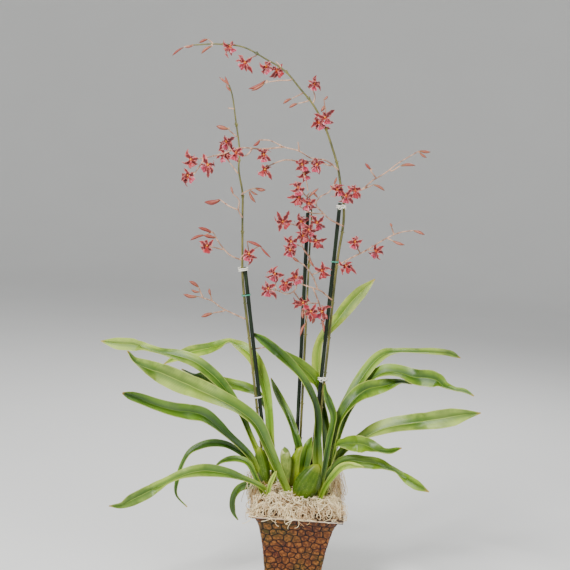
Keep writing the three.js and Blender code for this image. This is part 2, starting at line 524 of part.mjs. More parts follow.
// A flower: a star of pointed tepals with a broad lip, thick along its ribs
function flowerSolid([px, py, step, ...tips], depthAt, grow) {
  const depth = depthAt(px, py) + step;
  const middle = seen(px, py, depth);
  const points = flowerTips(middle, tips, depth);
  const outline = [];
  points.forEach(({ reach, angle, wide }, i) => {
    const next = points[(i + 1) % points.length];
    const length = reach.length();
    const half = (wide ? LIP_WIDTH : TEPAL_WIDTH) / 2 + grow;
    const side = new THREE.Vector3().crossVectors(reach, forward).setLength(half);
    const broad = middle.clone().addScaledVector(reach, wide ? 0.7 : 0.55);
    const tip = middle.clone().addScaledVector(reach, 1 + grow / length);
    const turn = angle + ((next.angle - angle + 2 * Math.PI) % (2 * Math.PI)) / 2;
    const valley = middle.clone().addScaledVector(wayOf(turn), VALLEY_RADIUS + grow);
    outline.push(broad.clone().sub(side), tip, broad.clone().add(side), valley);
  });
  const front = middle.clone().addScaledVector(forward, -COLUMN_DEPTH - grow);
  const back = middle.clone().addScaledVector(forward, COLUMN_DEPTH + grow);
  return { middle, solid: toSolid(loft([[back], outline, [front]])) };
}

function budSolid(from, to, width, grow) {
  const along = to.clone().sub(from);
  const length = along.length();
  along.normalize();
  const side = new THREE.Vector3().crossVectors(along, forward).normalize();
  const other = new THREE.Vector3().crossVectors(side, along);
  const ring = (t, radius) => [0, 1, 2, 3].map((k) => {
    const angle = (k * Math.PI) / 2;
    const point = from.clone().addScaledVector(along, t * length);
    point.addScaledVector(side, (radius + grow) * Math.cos(angle));
    return point.addScaledVector(other, -(radius + grow) * Math.sin(angle));
  });
  const half = (width * UNIT) / 2;
  const rings = [ring(0, 0.45 * half), ring(0.6, half)];
  return toSolid(loft([...rings, [to.clone().addScaledVector(along, grow)]]));
}

// The point of some routes that lies nearest to a place
function nearestOn(routes, place) {
  let best = null;
  for (const route of routes) {
    for (let i = 0; i + 1 < route.length; i++) {
      const found = new THREE.Line3(route[i], route[i + 1]).closestPointToPoint(place, true, new THREE.Vector3());
      if (!best || found.distanceTo(place) < best.distanceTo(place)) best = found;
    }
  }
  return best;
}

// A branch with its buds and flowers as one solid, each joined to the nearest twig by a pedicel
function spraySolid({ root, swing, twigs, buds, flowers }, grow, { mainRoute, holder }) {
  const depthAt = (px, py) => root[2] + swing * UNIT * Math.hypot(px - root[0], py - root[1]);
  const place = ([px, py]) => seen(px, py, depthAt(px, py));
  const routes = [];
  const solids = [];
  const addStem = (route, radius, sides, spacing) => {
    solids.push(stem(route, radius + grow, sides, spacing));
    routes.push(cornersOf(route, spacing));
  };
  if (mainRoute) addStem(mainRoute, SPIKE_RADIUS, 5, SPIKE_STEP);
  for (const twig of twigs) {
    const route = twig.map(place);
    const joint = nearestOn(routes.length ? routes : [holder], route[0]);
    if (joint.distanceTo(route[0]) > 0.3) route.unshift(joint);
    addStem(route, TWIG_RADIUS, 3, 22);
  }
  const hold = (point) => {
    const from = nearestOn(routes, point);
    if (from.distanceTo(point) > 1) solids.push(stem([from, point], PEDICEL_RADIUS + grow, 3, 40));
  };
  for (const [from, to, width] of buds) {
    hold(place(from));
    solids.push(budSolid(place(from), place(to), width, grow));
  }
  for (const flower of flowers) {
    const { middle, solid } = flowerSolid(flower, depthAt, grow);
    hold(middle);
    solids.push(solid);
  }
  return wasm.Manifold.union(solids);
}

function spikeRoute({ stake, side, climb, root, swing, stem: free }) {
  const depthAt = (px, py) => root[2] + swing * UNIT * Math.hypot(px - root[0], py - root[1]);
  const lower = climb.map((py) => onStake(stake, py, side * SPIKE_ASIDE));
  return [...lower, ...free.map(([px, py]) => seen(px, py, depthAt(px, py)))];
}

// An oval band round a stake and the stem beside it
function tieSolid([stake, py, side], grow = 0) {
  const centre = onStake(stake, py, (side * SPIKE_ASIDE) / 2);
  const along = onStake(stake, py - 10).sub(onStake(stake, py + 10)).normalize();
  const across = onStake(stake, py, side * SPIKE_ASIDE).sub(onStake(stake, py)).normalize();
  const other = new THREE.Vector3().crossVectors(along, across).normalize();
  const reach = (SPIKE_ASIDE * UNIT) / 2;
  const inner = STAKE_RADIUS + 2 * CLEARANCE - grow;
  const height = TIE_HEIGHT + 2 * grow;
  const band = new THREE.Shape(ovalPoints(reach, inner + TIE_WALL + 2 * grow, 3));
  band.holes.push(new THREE.Path(ovalPoints(reach, inner, 3)));
  const geometry = new THREE.ExtrudeGeometry(band, { depth: height, bevelEnabled: false, steps: 1 });
  geometry.translate(0, 0, -height / 2);
  const crossed = new THREE.Vector3().crossVectors(other, along).normalize();
  geometry.applyMatrix4(new THREE.Matrix4().makeBasis(crossed, other, along).setPosition(centre));
  return toSolid(geometry);
}

// An oval: two half circles a reach each side of the middle
function ovalPoints(reach, radius, steps) {
  const points = [];
  for (const end of [1, -1]) {
    for (let k = 0; k <= steps; k++) {
      const angle = (k / steps - 0.5) * Math.PI + (end < 0 ? Math.PI : 0);
      points.push(new THREE.Vector2(end * reach + radius * Math.cos(angle), radius * Math.sin(angle)));
    }
  }
  return points;
}

// A square ring with rounded corners, count points to a side
function squareRing(half, z, count) {
  const ring = [];
  for (let k = 0; k < 4 * count; k++) {
    const along = -1 + (2 * (k % count)) / count;
    const [u, v] = [[1, along], [-along, 1], [-1, -along], [along, -1]][Math.floor(k / count)];
    const norm = Math.pow(Math.abs(u) ** CORNER_POWER + Math.abs(v) ** CORNER_POWER, 1 / CORNER_POWER);
    ring.push(new THREE.Vector3((half * u) / norm, (half * v) / norm, z));
  }
  return ring;
}

function potHalf(z) {
  const upper = POT_PROFILE.findIndex(([height]) => height >= z);
  if (upper <= 0) return POT_PROFILE[0][1];
  const [[z0, h0], [z1, h1]] = [POT_PROFILE[upper - 1], POT_PROFILE[upper]];
  return THREE.MathUtils.lerp(h0, h1, (z - z0) / (z1 - z0));
}

// The planter: its outside carries courses of raised scales, and a thin lip flares out at the top
function potSolid() {
  const rings = [squareRing(potHalf(0) - 1, 0, SCALES_PER_SIDE)];
  const top = POT_PROFILE.at(-1)[0];
  const courses = Math.round(top / SCALE_COURSE);
  for (let row = 0; row <= courses; row++) {
    const z = Math.max(1.2, (row * top) / courses);
    const plain = row === 0 || row === courses;
    const ring = squareRing(potHalf(z), z, SCALES_PER_SIDE);
    rings.push(ring.map((point, k) => {
      const raised = plain ? 0 : (k + row) % 2 ? SCALE_RELIEF : -SCALE_RELIEF / 3;
      return new THREE.Vector3(point.x * (1 + raised / potHalf(z)), point.y * (1 + raised / potHalf(z)), z);
    }));
  }
  rings.push(squareRing(RIM_HALF - 4, RIM_TOP - 2 - LIP_THICKNESS, SCALES_PER_SIDE));
  rings.push(squareRing(RIM_HALF, RIM_TOP - LIP_THICKNESS, SCALES_PER_SIDE));
  rings.push(squareRing(RIM_HALF, RIM_TOP, SCALES_PER_SIDE));
  rings.push(squareRing(RIM_HALF - 4.5, RIM_TOP - 2, SCALES_PER_SIDE));
  for (const z of [top + LIP_THICKNESS, 111, 77, POT_FLOOR]) {
    rings.push(squareRing(potHalf(Math.min(z, top)) - POT_WALL, z, SCALES_PER_SIDE));
  }
  // Diagonals run along the valleys, so each raised point is a scale of its own
  return toSolid(loft(rings, (row, place) => (row + place) % 2 === 0));
}

// The bark mix that fills the planter below the wood wool
function mixSolid() {
  const levels = [POT_FLOOR + CLEARANCE, 40, 77, 100, MIX_TOP];
  return toSolid(loft(levels.map((z) => squareRing(potHalf(z) - POT_WALL - CLEARANCE, z, 3))));
}

function woolHeight(x, y) {
  const out = Math.max(Math.abs(x), Math.abs(y)) / WOOL_HALF;
  let height = WOOL_EDGE + WOOL_RISE * (1 - Math.pow(Math.min(1, out), 4));
  for (const [sx, sy, rise, spread] of WOOL_SWELLS) {
    height += rise * Math.exp(-((x - sx) ** 2 + (y - sy) ** 2) / spread ** 2);
  }
  return height;
}

// The tuft of wood wool: a rough mound that swells over the lip, with loose strands, some of them hanging out
function woolSolid() {
  const count = 8;
  const rings = [MIX_TOP + CLEARANCE, 120].map((z) => squareRing(potHalf(z) - POT_WALL - CLEARANCE, z, count));
  const neck = potHalf(POT_PROFILE.at(-1)[0]) - POT_WALL - CLEARANCE - 1.5;
  rings.push(squareRing(neck, 127, count), squareRing(neck, RIM_TOP - 1.5, count));
  rings.push(squareRing(WOOL_HALF - 1, RIM_TOP + 1.2, count));
  for (const share of [1, 0.93, 0.77, 0.57, 0.35, 0.12]) {
    const ring = squareRing(WOOL_HALF * share, 0, count);
    rings.push(ring.map(({ x, y }) => {
      const rough = (random() - 0.5) * (share === 1 ? 1.5 : 6);
      return new THREE.Vector3(x + (share < 1 ? rough * 0.5 : 0), y, woolHeight(x, y) + rough);
    }));
  }
  const solids = [toSolid(loft(rings))];
  for (let i = 0; i < STRAND_COUNT; i++) {
    solids.push(stem(strandRoute(i), STRAND_RADIUS, 3, 12));
  }
  return wasm.Manifold.union(solids);
}

// A strand that leaves the mound and curls back, or hangs out over the lip on every third
function strandRoute(index) {
  const angle = (index / STRAND_COUNT) * 2 * Math.PI + 0.5 * random();
  const [x, y] = [Math.cos(angle), Math.sin(angle)];
  const over = index % 3 === 0;
  const stretch = 1 / Math.max(Math.abs(x), Math.abs(y));
  const at = (out, lift) => {
    const [sx, sy] = [out * stretch * x, out * stretch * y];
    return new THREE.Vector3(sx, sy, woolHeight(sx, sy) + lift);
  };
  const inner = 38 + 14 * random();
  if (!over) return [at(inner, -4), at(inner + 4, 3), at(inner + 11, 4), at(inner + 15, -4)];
  const lip = RIM_TOP + 2 + 2 * STRAND_RADIUS;
  const outer = (out, z) => new THREE.Vector3(out * stretch * x, out * stretch * y, z);
  return [at(inner, -4), at(56, 4), outer(67, lip + 1), outer(RIM_HALF + 4, lip - 1), outer(RIM_HALF + 6, 122)];
}

// The rhizome and the thick roots that go down into the mix
function rhizomeSolid(grow = 0) {
  const points = RHIZOME.map((values) => new THREE.Vector3(...values));
  const solids = [stem(points, RHIZOME_RADIUS + grow, 7, 20)];
  const path = new THREE.CatmullRomCurve3(points);
  for (let i = 0; i < ROOT_COUNT; i++) {
    const from = path.getPoint((i + 0.7) / (ROOT_COUNT + 0.4));
    const angle = i * 2.4;
    const out = new THREE.Vector3(from.x * 0.6 + 10 * Math.cos(angle), 14 * Math.sin(angle), MIX_TOP - 8);
    const end = new THREE.Vector3(out.x * 0.7, out.y * 1.3, ROOT_DEPTH + 4 * i);
    solids.push(stem([from, out, end], ROOT_RADIUS + grow, 4, 24));
  }
  return wasm.Manifold.union(solids);
}

// The largest connected body of a solid
function mainBody(solid) {
  return solid.decompose().reduce((kept, body) => (body.volume() > kept.volume() ? body : kept));
}

// Moves each point that falls on an earlier one a hair aside, as two skins that touch stay two
function partPoints(places) {
  const taken = new Set();
  const cell = (i) => [0, 1, 2].map((j) => Math.round(places[i + j] / APART)).join();
  for (let i = 0; i < places.length; i += 3) {
    while (taken.has(cell(i))) places[i] += APART;
    taken.add(cell(i));
  }
}

// Later pieces give way to earlier ones, a clearance apart
function settle(name, solid, envelope, colour) {
  let shape = solid;
  for (const earlier of placed) shape = shape.subtract(earlier);
  shape = mainBody(mainBody(shape).simplify(SMALLEST_EDGE));
  if (envelope) placed.push(envelope);
  const { numProp, vertProperties, triVerts } = shape.getMesh();
  const geometry = new THREE.BufferGeometry();
  const places = [];
  for (let i = 0; i < vertProperties.length; i += numProp) places.push(...vertProperties.slice(i, i + 3));
  partPoints(places);
  geometry.setAttribute("position", new THREE.Float32BufferAttribute(places, 3));
  geometry.setIndex(Array.from(triVerts));
  geometry.computeVertexNormals();
  const [color, roughness, metalness] = COLOURS[colour];
  const mesh = new THREE.Mesh(geometry, new THREE.MeshStandardMaterial({ color, roughness, metalness }));
  mesh.name = name;
  group.add(mesh);
}

for (const name of Object.keys(STAKES)) {
  const ends = [onStake(name, STAKE_END), onStake(name, STAKES[name].top[1])];
  settle(`stake_${name}`, stem(ends, STAKE_RADIUS, 8, 1000), stem(ends, STAKE_RADIUS + CLEARANCE, 8, 1000), "stake");
}
for (const [name, spike] of Object.entries(SPIKES)) {
  const mainRoute = spikeRoute(spike);
  settle(name, spraySolid(spike, 0, { mainRoute }), spraySolid(spike, CLEARANCE, { mainRoute }), "bloom");
}
for (const [name, tie] of Object.entries(TIES)) {
  settle(name, tieSolid(tie), tieSolid(tie, CLEARANCE), "tie");
}
for (const [name, bulb] of Object.entries(BULBS)) {
  settle(name, bulbSolid(bulb), bulbSolid(bulb, CLEARANCE), "bulb");
}
for (const [name, leaf] of Object.entries(LEAVES)) {
  settle(name, leafSolid(leaf), leafSolid(leaf, CLEARANCE), "leaf");
}
for (const [name, spray] of Object.entries(SPRAYS)) {
  const holder = cornersOf(spikeRoute(SPIKES[name.replace(/spray_(.*)_.*/, "spike_$1")]), SPIKE_STEP);
  settle(name, spraySolid(spray, 0, { holder }), spraySolid(spray, CLEARANCE, { holder }), "bloom");
}
settle("rhizome", rhizomeSolid(), rhizomeSolid(CLEARANCE), "root");
settle("wood_wool", woolSolid(), null, "wool");
settle("planting_mix", mixSolid(), null, "mix");
settle("pot", potSolid(), null, "pot");

export default group;
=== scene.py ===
# Potted oncidium orchid: planter, wood wool, stakes, bulbs, strap leaves and flower spikes.
import math
import random

import bpy
from mathutils import Matrix, Vector, noise


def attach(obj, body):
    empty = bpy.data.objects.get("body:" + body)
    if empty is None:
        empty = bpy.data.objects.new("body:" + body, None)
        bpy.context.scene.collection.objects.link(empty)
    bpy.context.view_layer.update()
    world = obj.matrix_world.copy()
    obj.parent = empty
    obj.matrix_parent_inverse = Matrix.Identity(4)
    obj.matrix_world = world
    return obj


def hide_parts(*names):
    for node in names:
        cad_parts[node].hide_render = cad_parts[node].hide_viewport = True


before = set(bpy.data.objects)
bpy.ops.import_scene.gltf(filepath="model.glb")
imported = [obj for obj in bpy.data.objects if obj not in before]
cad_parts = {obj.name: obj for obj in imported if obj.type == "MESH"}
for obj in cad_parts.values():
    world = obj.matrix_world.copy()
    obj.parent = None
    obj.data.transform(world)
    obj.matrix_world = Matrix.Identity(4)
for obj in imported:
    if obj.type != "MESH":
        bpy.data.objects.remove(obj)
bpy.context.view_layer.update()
chance = random.Random(20417)

# Sizes in millimetres
MM = 0.001

# The pot
RIM_HALF = 74
RIM_TOP = 132
LIP_THICKNESS = 1.5
POT_WALL = 2
POT_FLOOR = 3
CORNER_POWER = 16
# The outside of the pot, from foot to lip: height and half width
POT_PROFILE = [(0, 41), (38, 43.8), (77, 49.3), (100, 54.4), (111, 57.3), (120, 61), (127.5, 65.2)]

# The pot's scales, and the columns and rows of its mesh
SCALE_HIGH = 9.6
SCALES_ROUND = 4 * 8
SCALE_RELIEF = 1.1
POT_COLUMNS = 4 * 100
POT_ROWS = 150

# Stakes, stems and leaves
STAKE_RADIUS = 3
STAKE_END = 562
SPIKE_RADIUS = 2.1
SPIKE_TIP_RADIUS = 1.1
SPIKE_ASIDE = 3.5
TWIG_RADIUS = 1.15
PEDICEL_RADIUS = 0.75
STEM_SPACING = 3.5
CLEARANCE = 0.35
BLADE_THICKNESS = 0.9
BLADE_COLUMNS = 14
BLADE_ROWS = 8

# Flowers
TEPAL_LENGTH = 15.5
TEPAL_WIDTH = 6.2
TEPAL_COUNT = 5
TEPAL_THICKNESS = 0.5
LIP_LENGTH = 13
LIP_WIDTH = 12

# Wood wool
WOOL_HALF = 71
WOOL_EDGE = 137
WOOL_RISE = 12
# Swells of the mound: place, rise and spread
WOOL_SWELLS = [(-52, 8, 14, 26), (-60, 48, 32, 20), (50, 30, 10, 24), (60, 50, 26, 19), (0, 40, 8, 40)]
WOOL_LAYERS = 5
CURLS_PER_LAYER = 86
FRINGE_PER_LAYER = 5

# Cord radius and half height of a clip and of a plain tie
CLIP_CORD = (1.05, 2.6)
TIE_CORD = (0.7, 0.8)

# The photograph's view: 570 units square, from the front and a little above.
# Routes give places in it, and a depth in millimetres behind the pot's middle.
PICTURE = 570
LENS = 1156
EYE_DISTANCE = 1800
EYE_PITCH = math.radians(6.5)
EYE_ROLL = math.radians(4)
AIM = Vector((-43, 0, 483))
UNIT = EYE_DISTANCE / LENS

# Stakes: picture places with a depth. Ties: their stake, picture height and side of the stem
STAKES = {
    "left": {"top": [244.8, 267, 12], "foot": [263, 430, 14]},
    "middle": {"top": [308, 209, 62], "foot": [297.5, 425, 46]},
    "right": {"top": [340, 203, 22], "foot": [314.5, 440, 16]},
}
TIES = {
    "tie_left_top": ["left", 269, -1],
    "tie_left_upper": ["left", 295, -1],
    "tie_left_lower": ["left", 397, -1],
    "tie_middle_top": ["middle", 212, 1],
    "tie_right_top": ["right", 207, 1],
    "tie_right_upper": ["right", 262, 1],
    "tie_right_lower": ["right", 379, 1],
}

# The one strand of wool that stands up beside the front bulb
STRAY = ((330, 437), (331, 445), (332.5, 453), (329, 458), (334, 460), (331, 466), (328, 468), (329, 480))

# Bulbs: base, apex, seen width, thickness and how far the widest place lies along it
BULBS = {
    "bulb_left": {
        "base": [266.5, 487, 2], "apex": [258.5, 446, 3], "width": 21, "thickness": 13, "belly": 0.5,
    },
    "bulb_front": {
        "base": [297.5, 501, -15], "apex": [319, 464, -13], "width": 38, "thickness": 20, "belly": 0.44,
    },
    "bulb_back": {
        "base": [292.5, 491, 14], "apex": [302, 446, 15], "width": 31, "thickness": 17, "belly": 0.45,
    },
    "bulb_old": {
        "base": [288.5, 486, -3], "apex": [284.5, 446.5, -2], "width": 17, "thickness": 10, "belly": 0.66,
    },
    "bulb_right": {
        "base": [323.5, 491, 9], "apex": [328, 458, 9], "width": 16, "thickness": 12, "belly": 0.4,
    },
}

# Leaves: depths at the base, the middle and the tip, the strap's real width,
# and places with seen widths
LEAVES = {
    "leaf_left_1": {
        "deep": [3, 22, 70], "width": 21,
        "route": [[258, 452, 6], [249, 432, 5], [241, 413, 6], [228, 392, 9], [214, 376, 12],
            [195, 361.5, 12], [178, 355.5, 10.5], [158, 351, 5.5], [147, 348, 6], [132, 344.5, 13],
            [118, 343.5, 12.5], [101, 341, 1]],
    },
    "leaf_left_2": {
        "deep": [-11, -14, -70], "width": 34,
        "route": [[289, 496, 6], [280, 475, 8], [268, 447, 10], [256, 423, 10], [240, 409.5, 11],
            [222, 399.5, 14], [203, 391, 18], [180, 381.5, 22], [162, 373.5, 20], [147, 367.5, 12],
            [134, 360.5, 3], [127.5, 351, 1]],
    },
    "leaf_left_3": {
        "deep": [-4, -32, -100], "width": 25,
        "route": [[258, 473, 6], [252, 459, 6.5], [243, 449, 6], [230, 437, 5.5], [216, 424, 8.5],
            [203, 415, 13], [190, 412, 15.5], [175, 410, 12.5], [158, 405.5, 10.5], [142, 399.5, 9.5],
            [130, 395.5, 8], [122.5, 393, 2]],
    },
    "leaf_left_4": {
        "deep": [5, 32, 105], "width": 21,
        "route": [[273, 470, 7], [270.5, 440, 8], [269.5, 420, 8.5], [267.5, 400, 8.5], [263, 378, 11],
            [255, 360, 13], [246, 350, 12], [238, 345, 8], [230, 341.5, 3], [221, 344.5, 8.5],
            [207, 348.5, 12], [192, 351.5, 13], [178, 356.5, 9], [164, 364, 1]],
    },
    "leaf_left_5": {
        "deep": [16, 40, 76], "width": 19,
        "route": [[275, 492, 5], [273, 462, 5], [270, 430, 5], [266, 409, 5], [257, 393.5, 6],
            [245, 387.5, 10], [231, 384, 11], [216, 380.5, 12], [204, 376.5, 10], [194, 375.5, 3],
            [181.5, 369, 1]],
    },
    "leaf_left_6": {
        "deep": [5, -18, -45], "width": 13,
        "route": [[258, 473, 5], [248, 458, 6], [238, 450.5, 6], [226, 444.5, 6.5], [212, 443, 7.5],
            [200, 446, 6.5], [190, 452, 4.5], [182.5, 464, 4], [178, 478, 4], [176.5, 494, 2.5],
            [187, 507, 1]],
    },
    "leaf_left_7": {
        "deep": [-13, -12, 15], "width": 11,
        "route": [[264, 496, 4], [257, 480, 5], [248, 463, 5.5], [239, 459, 6], [230, 459, 5.5],
            [222, 461.5, 3], [215, 466.5, 1]],
    },
    "leaf_left_8": {
        "deep": [-13, -50, -110], "width": 21,
        "route": [[270, 499, 4], [264, 489, 5], [253, 482.5, 4], [243, 478.5, 4.5], [232, 474.5, 7],
            [220, 472, 9.5], [205, 470.5, 12], [192, 472, 10.5], [180, 475.5, 7], [168, 481, 5.5],
            [157, 487, 9.5], [145, 493.5, 12.5], [132, 500, 12], [121, 505.5, 6], [109, 506, 1]],
    },
    "leaf_left_9": {
        "deep": [10, 22, 30], "width": 13,
        "route": [[263, 488, 5], [254, 485.5, 7], [245, 485.5, 8.5], [238.5, 489, 7], [234, 496, 6],
            [232.5, 505, 6], [234, 513, 4], [238, 520, 1]],
    },
    "leaf_middle_1": {
        "deep": [17, 42, 100], "width": 14,
        "route": [[301, 453, 7], [298, 443, 8], [294, 430, 7], [289, 416, 7], [282, 402, 7.5], [276, 390, 6],
            [271, 378, 1]],
    },
    "leaf_middle_2": {
        "deep": [-13, 0, 21], "width": 21,
        "route": [[318, 472, 9], [317.5, 455, 10], [317.5, 437, 7.5], [317.5, 420, 7.5], [315, 404, 6.5],
            [310, 391.5, 6.2], [303, 379.5, 6], [295, 369, 8], [286, 359.5, 9.5], [275, 349.5, 10.5],
            [263, 340, 9], [251.5, 332.5, 1]],
    },
    "leaf_middle_3": {
        "deep": [3, 31, 36], "width": 24,
        "route": [[325, 494, 5], [326, 466, 6], [324.5, 440, 6.5], [322.5, 415, 6], [320, 395, 5],
            [317, 383, 9], [311, 375, 14], [304, 368.5, 13], [296, 361.5, 9], [288, 355.5, 5],
            [281, 350, 1]],
    },
    "leaf_right_1": {
        "deep": [20, 46, 82], "width": 24,
        "route": [[325, 492, 5], [330, 466, 6], [328, 430, 6], [323, 402, 5], [318.5, 380, 5],
            [317.3, 365, 8.5], [317.8, 352, 9], [321, 340, 7], [328, 331, 9], [338, 319, 12],
            [349, 305, 14.5], [360, 293, 13], [375, 279, 1]],
    },
    "leaf_right_2": {
        "deep": [-9, -20, -16], "width": 13,
        "route": [[319, 498, 4], [324, 470, 5], [329.5, 440, 6], [333, 425, 5], [333.5, 414, 7],
            [329, 402, 7.5], [326, 392, 4], [325, 383, 1]],
    },
    "leaf_right_3": {
        "deep": [3, 12, 90], "width": 20,
        "route": [[324, 495, 5], [328, 470, 6], [332, 450, 6], [337, 428, 6], [342, 411, 7], [350, 396, 8],
            [358, 383, 10], [367, 370, 11], [376, 359.5, 11], [386, 353, 8.5], [400, 351.2, 3.6],
            [418, 351.5, 4], [435, 351.7, 6.5], [450, 353.3, 6.5], [460.5, 358, 1]],
    },
    "leaf_right_4": {
        "deep": [15, 16, -30], "width": 27,
        "route": [[326, 492, 5], [330, 468, 6], [338, 438, 6], [347, 413, 7], [357, 397, 7], [366, 384.5, 6],
            [374, 376, 7], [386, 371, 10.5], [400, 372, 11], [415, 377, 15.5], [430, 378.5, 17.5],
            [438, 381, 14], [445, 386, 6], [455, 389.5, 3], [464, 391, 4], [474, 396, 1]],
    },
    "leaf_right_5": {
        "deep": [5, -12, 22], "width": 27,
        "route": [[323, 494, 5], [328, 470, 6], [332, 445, 7], [337, 424, 8], [344, 411, 8.5],
            [352, 400.5, 11], [361, 392.5, 15.5], [370, 388.5, 17], [380, 386.5, 14.5], [390, 384, 10],
            [400, 381.8, 4], [412, 384, 1]],
    },
    "leaf_right_6": {
        "deep": [13, 10, -40], "width": 30,
        "route": [[325, 492, 5], [330, 470, 6], [344, 450, 7], [355, 442.5, 7], [364, 436.5, 7],
            [371, 432.5, 8.5], [381, 428.4, 12], [393, 425.3, 14.2], [408, 423.2, 15], [425, 421, 17],
            [440, 419, 19], [453, 416.8, 18], [464, 414.8, 12], [481, 413, 1]],
    },
    "leaf_right_7": {
        "deep": [0, -30, -95], "width": 26,
        "route": [[323, 494, 4], [328, 472, 4], [334, 454, 3.5], [338, 444.5, 3.5], [344, 443.2, 8],
            [352, 443.5, 14], [360, 444, 17], [368, 446, 14], [375, 449, 8], [382, 451, 3], [391, 451.5, 4],
            [401.5, 448, 1]],
    },
    "leaf_right_8": {
        "deep": [-7, -35, -95], "width": 20,
        "route": [[316, 500, 5], [320, 490, 6], [326, 479, 7], [334, 468.5, 8], [343, 461.5, 9],
            [353, 460.5, 11], [364, 462.2, 12], [373, 463.2, 12], [381, 465, 9], [389, 468.5, 5],
            [396, 471.5, 3], [403, 476.3, 6], [409.5, 480.7, 10], [415.5, 484.5, 10], [429, 492, 1]],
    },
    "leaf_right_9": {
        "deep": [-17, -40, -60], "width": 12,
        "route": [[318, 504, 4], [325, 487, 5], [334, 474.5, 6], [341, 467.5, 7], [349, 465.2, 7],
            [356, 466, 4.5], [364, 467.3, 1]],
    },
    "shoot_front": {
        "deep": [-22, -22, -24], "width": 8,
        "route": [[267.5, 497, 3.5], [270, 485, 4.5], [273.5, 477, 4], [276.5, 471, 1]],
    },
    "sheath_back": {
        "deep": [6, 6, 9], "width": 16,
        "route": [[303, 472, 9], [306, 456, 12], [308.5, 446, 9], [312, 437, 1]],
    },
}

# Stems: a twig is a list of places. A bud has its start, its end and its width.
# A flower has its middle, a step in depth and the tips that show.
SPIKES = {
    "spike_right": {
        "stake": "right", "side": 1, "climb": [474, 400, 330, 262], "root": [343, 205, 22], "swing": 0.2,
        "stem": [[343.5, 222], [343.5, 203], [341, 188], [338, 168], [333, 150], [325, 127], [313, 104.5],
            [300, 88.5], [285, 71], [265, 58.5], [243, 47], [216, 44], [194, 45]],
        "twigs": [[[213, 43.5], [208, 39]], [[257, 55], [249, 58.5]], [[281, 67], [276, 61.5]], [[291, 80],
            [280, 80.5], [268, 82]], [[303, 93], [292, 98.5]], [[308, 101], [298, 103.5]], [[313, 103],
            [315, 97], [313, 90]], [[325, 118], [324, 99]], [[335, 157], [331, 142]]],
        "buds": [[[194, 45], [184, 47], 3], [[184, 47], [172, 56], 3], [[208, 39], [199, 43], 4], [[212, 46],
            [201, 54], 4], [[266, 80], [248, 89], 5], [[265, 83], [251, 91], 4], [[292, 98.5],
            [283, 104], 4], [[298, 103.5], [289, 108], 4], [[324, 100], [328, 96], 3], [[325, 105],
            [321, 112], 4]],
        "flowers": [[230, 47, -6, [222, 41], [226, 58], [231, 56], [235, 42]], [245, 63, -6, [238, 54],
            [253, 74], [253, 58], [235, 60], [246, 72]], [266, 67, -8, [259, 65], [263, 75], [275, 70]],
            [277, 71, 6, [269, 78], [274, 79], [283, 64]], [314, 84, -5, [316, 75], [322, 90], [310, 81],
            [307, 88]], [325, 118, -12, [335, 109], [334, 124], [313, 114], [321, 127]],
            [319, 123, -3, [310, 127], [317, 131], [331, 130], [314, 116]], [337, 190, -9, [330, 186],
            [333, 198], [343, 184]], [346, 196, -9, [354, 204], [352, 188], [339, 203]]],
    },
    "spike_middle": {
        "stake": "middle", "side": 1, "climb": [470, 400, 330, 262], "root": [311, 218, 60], "swing": -0.3,
        "stem": [[311.4, 218], [311.5, 205]],
        "twigs": [[[311, 232], [298, 226], [283, 222]], [[309, 256], [304, 250], [300, 240]], [[309, 256],
            [313, 266]], [[303, 247], [291, 243]]],
        "buds": [[[309.5, 259], [314, 267], 3.5]],
        "flowers": [[283, 222, -4, [276, 211], [290, 210], [273, 218], [293, 221], [278, 232]],
            [301, 222, -10, [298, 213], [300, 233], [310, 218]], [317, 223, -12, [325, 216], [326, 228],
            [310, 214], [313, 234]], [303, 236, -6, [296, 232], [300, 244], [310, 242]],
            [291, 242, -6, [285, 252], [292, 251], [283, 237], [299, 238]], [316, 241, -14, [328, 239],
            [313, 249], [325, 249], [312, 233]], [309, 230, -20, [303, 223], [317, 232], [305, 238]],
            [290, 250, -12, [283, 256], [295, 257], [284, 245]]],
    },
    "spike_left": {
        "stake": "left", "side": -1, "climb": [474, 410, 350, 280], "root": [242, 262, 12], "swing": 0.08,
        "stem": [[242.4, 250], [242.5, 217], [242.5, 193], [238.8, 170], [239.5, 150], [236, 122], [232, 94],
            [229, 85]],
        "twigs": [[[235, 109], [228, 108]], [[237.5, 137], [229, 130]], [[238.8, 174], [230, 163]],
            [[252, 349], [260, 348], [267, 347]]],
        "buds": [[[229, 85], [219, 77], 3], [[232, 92], [226, 84], 3], [[230, 87], [225, 76], 3],
            [[229, 129], [216, 126], 6], [[230, 163], [228, 159], 2]],
        "flowers": [],
    },
}

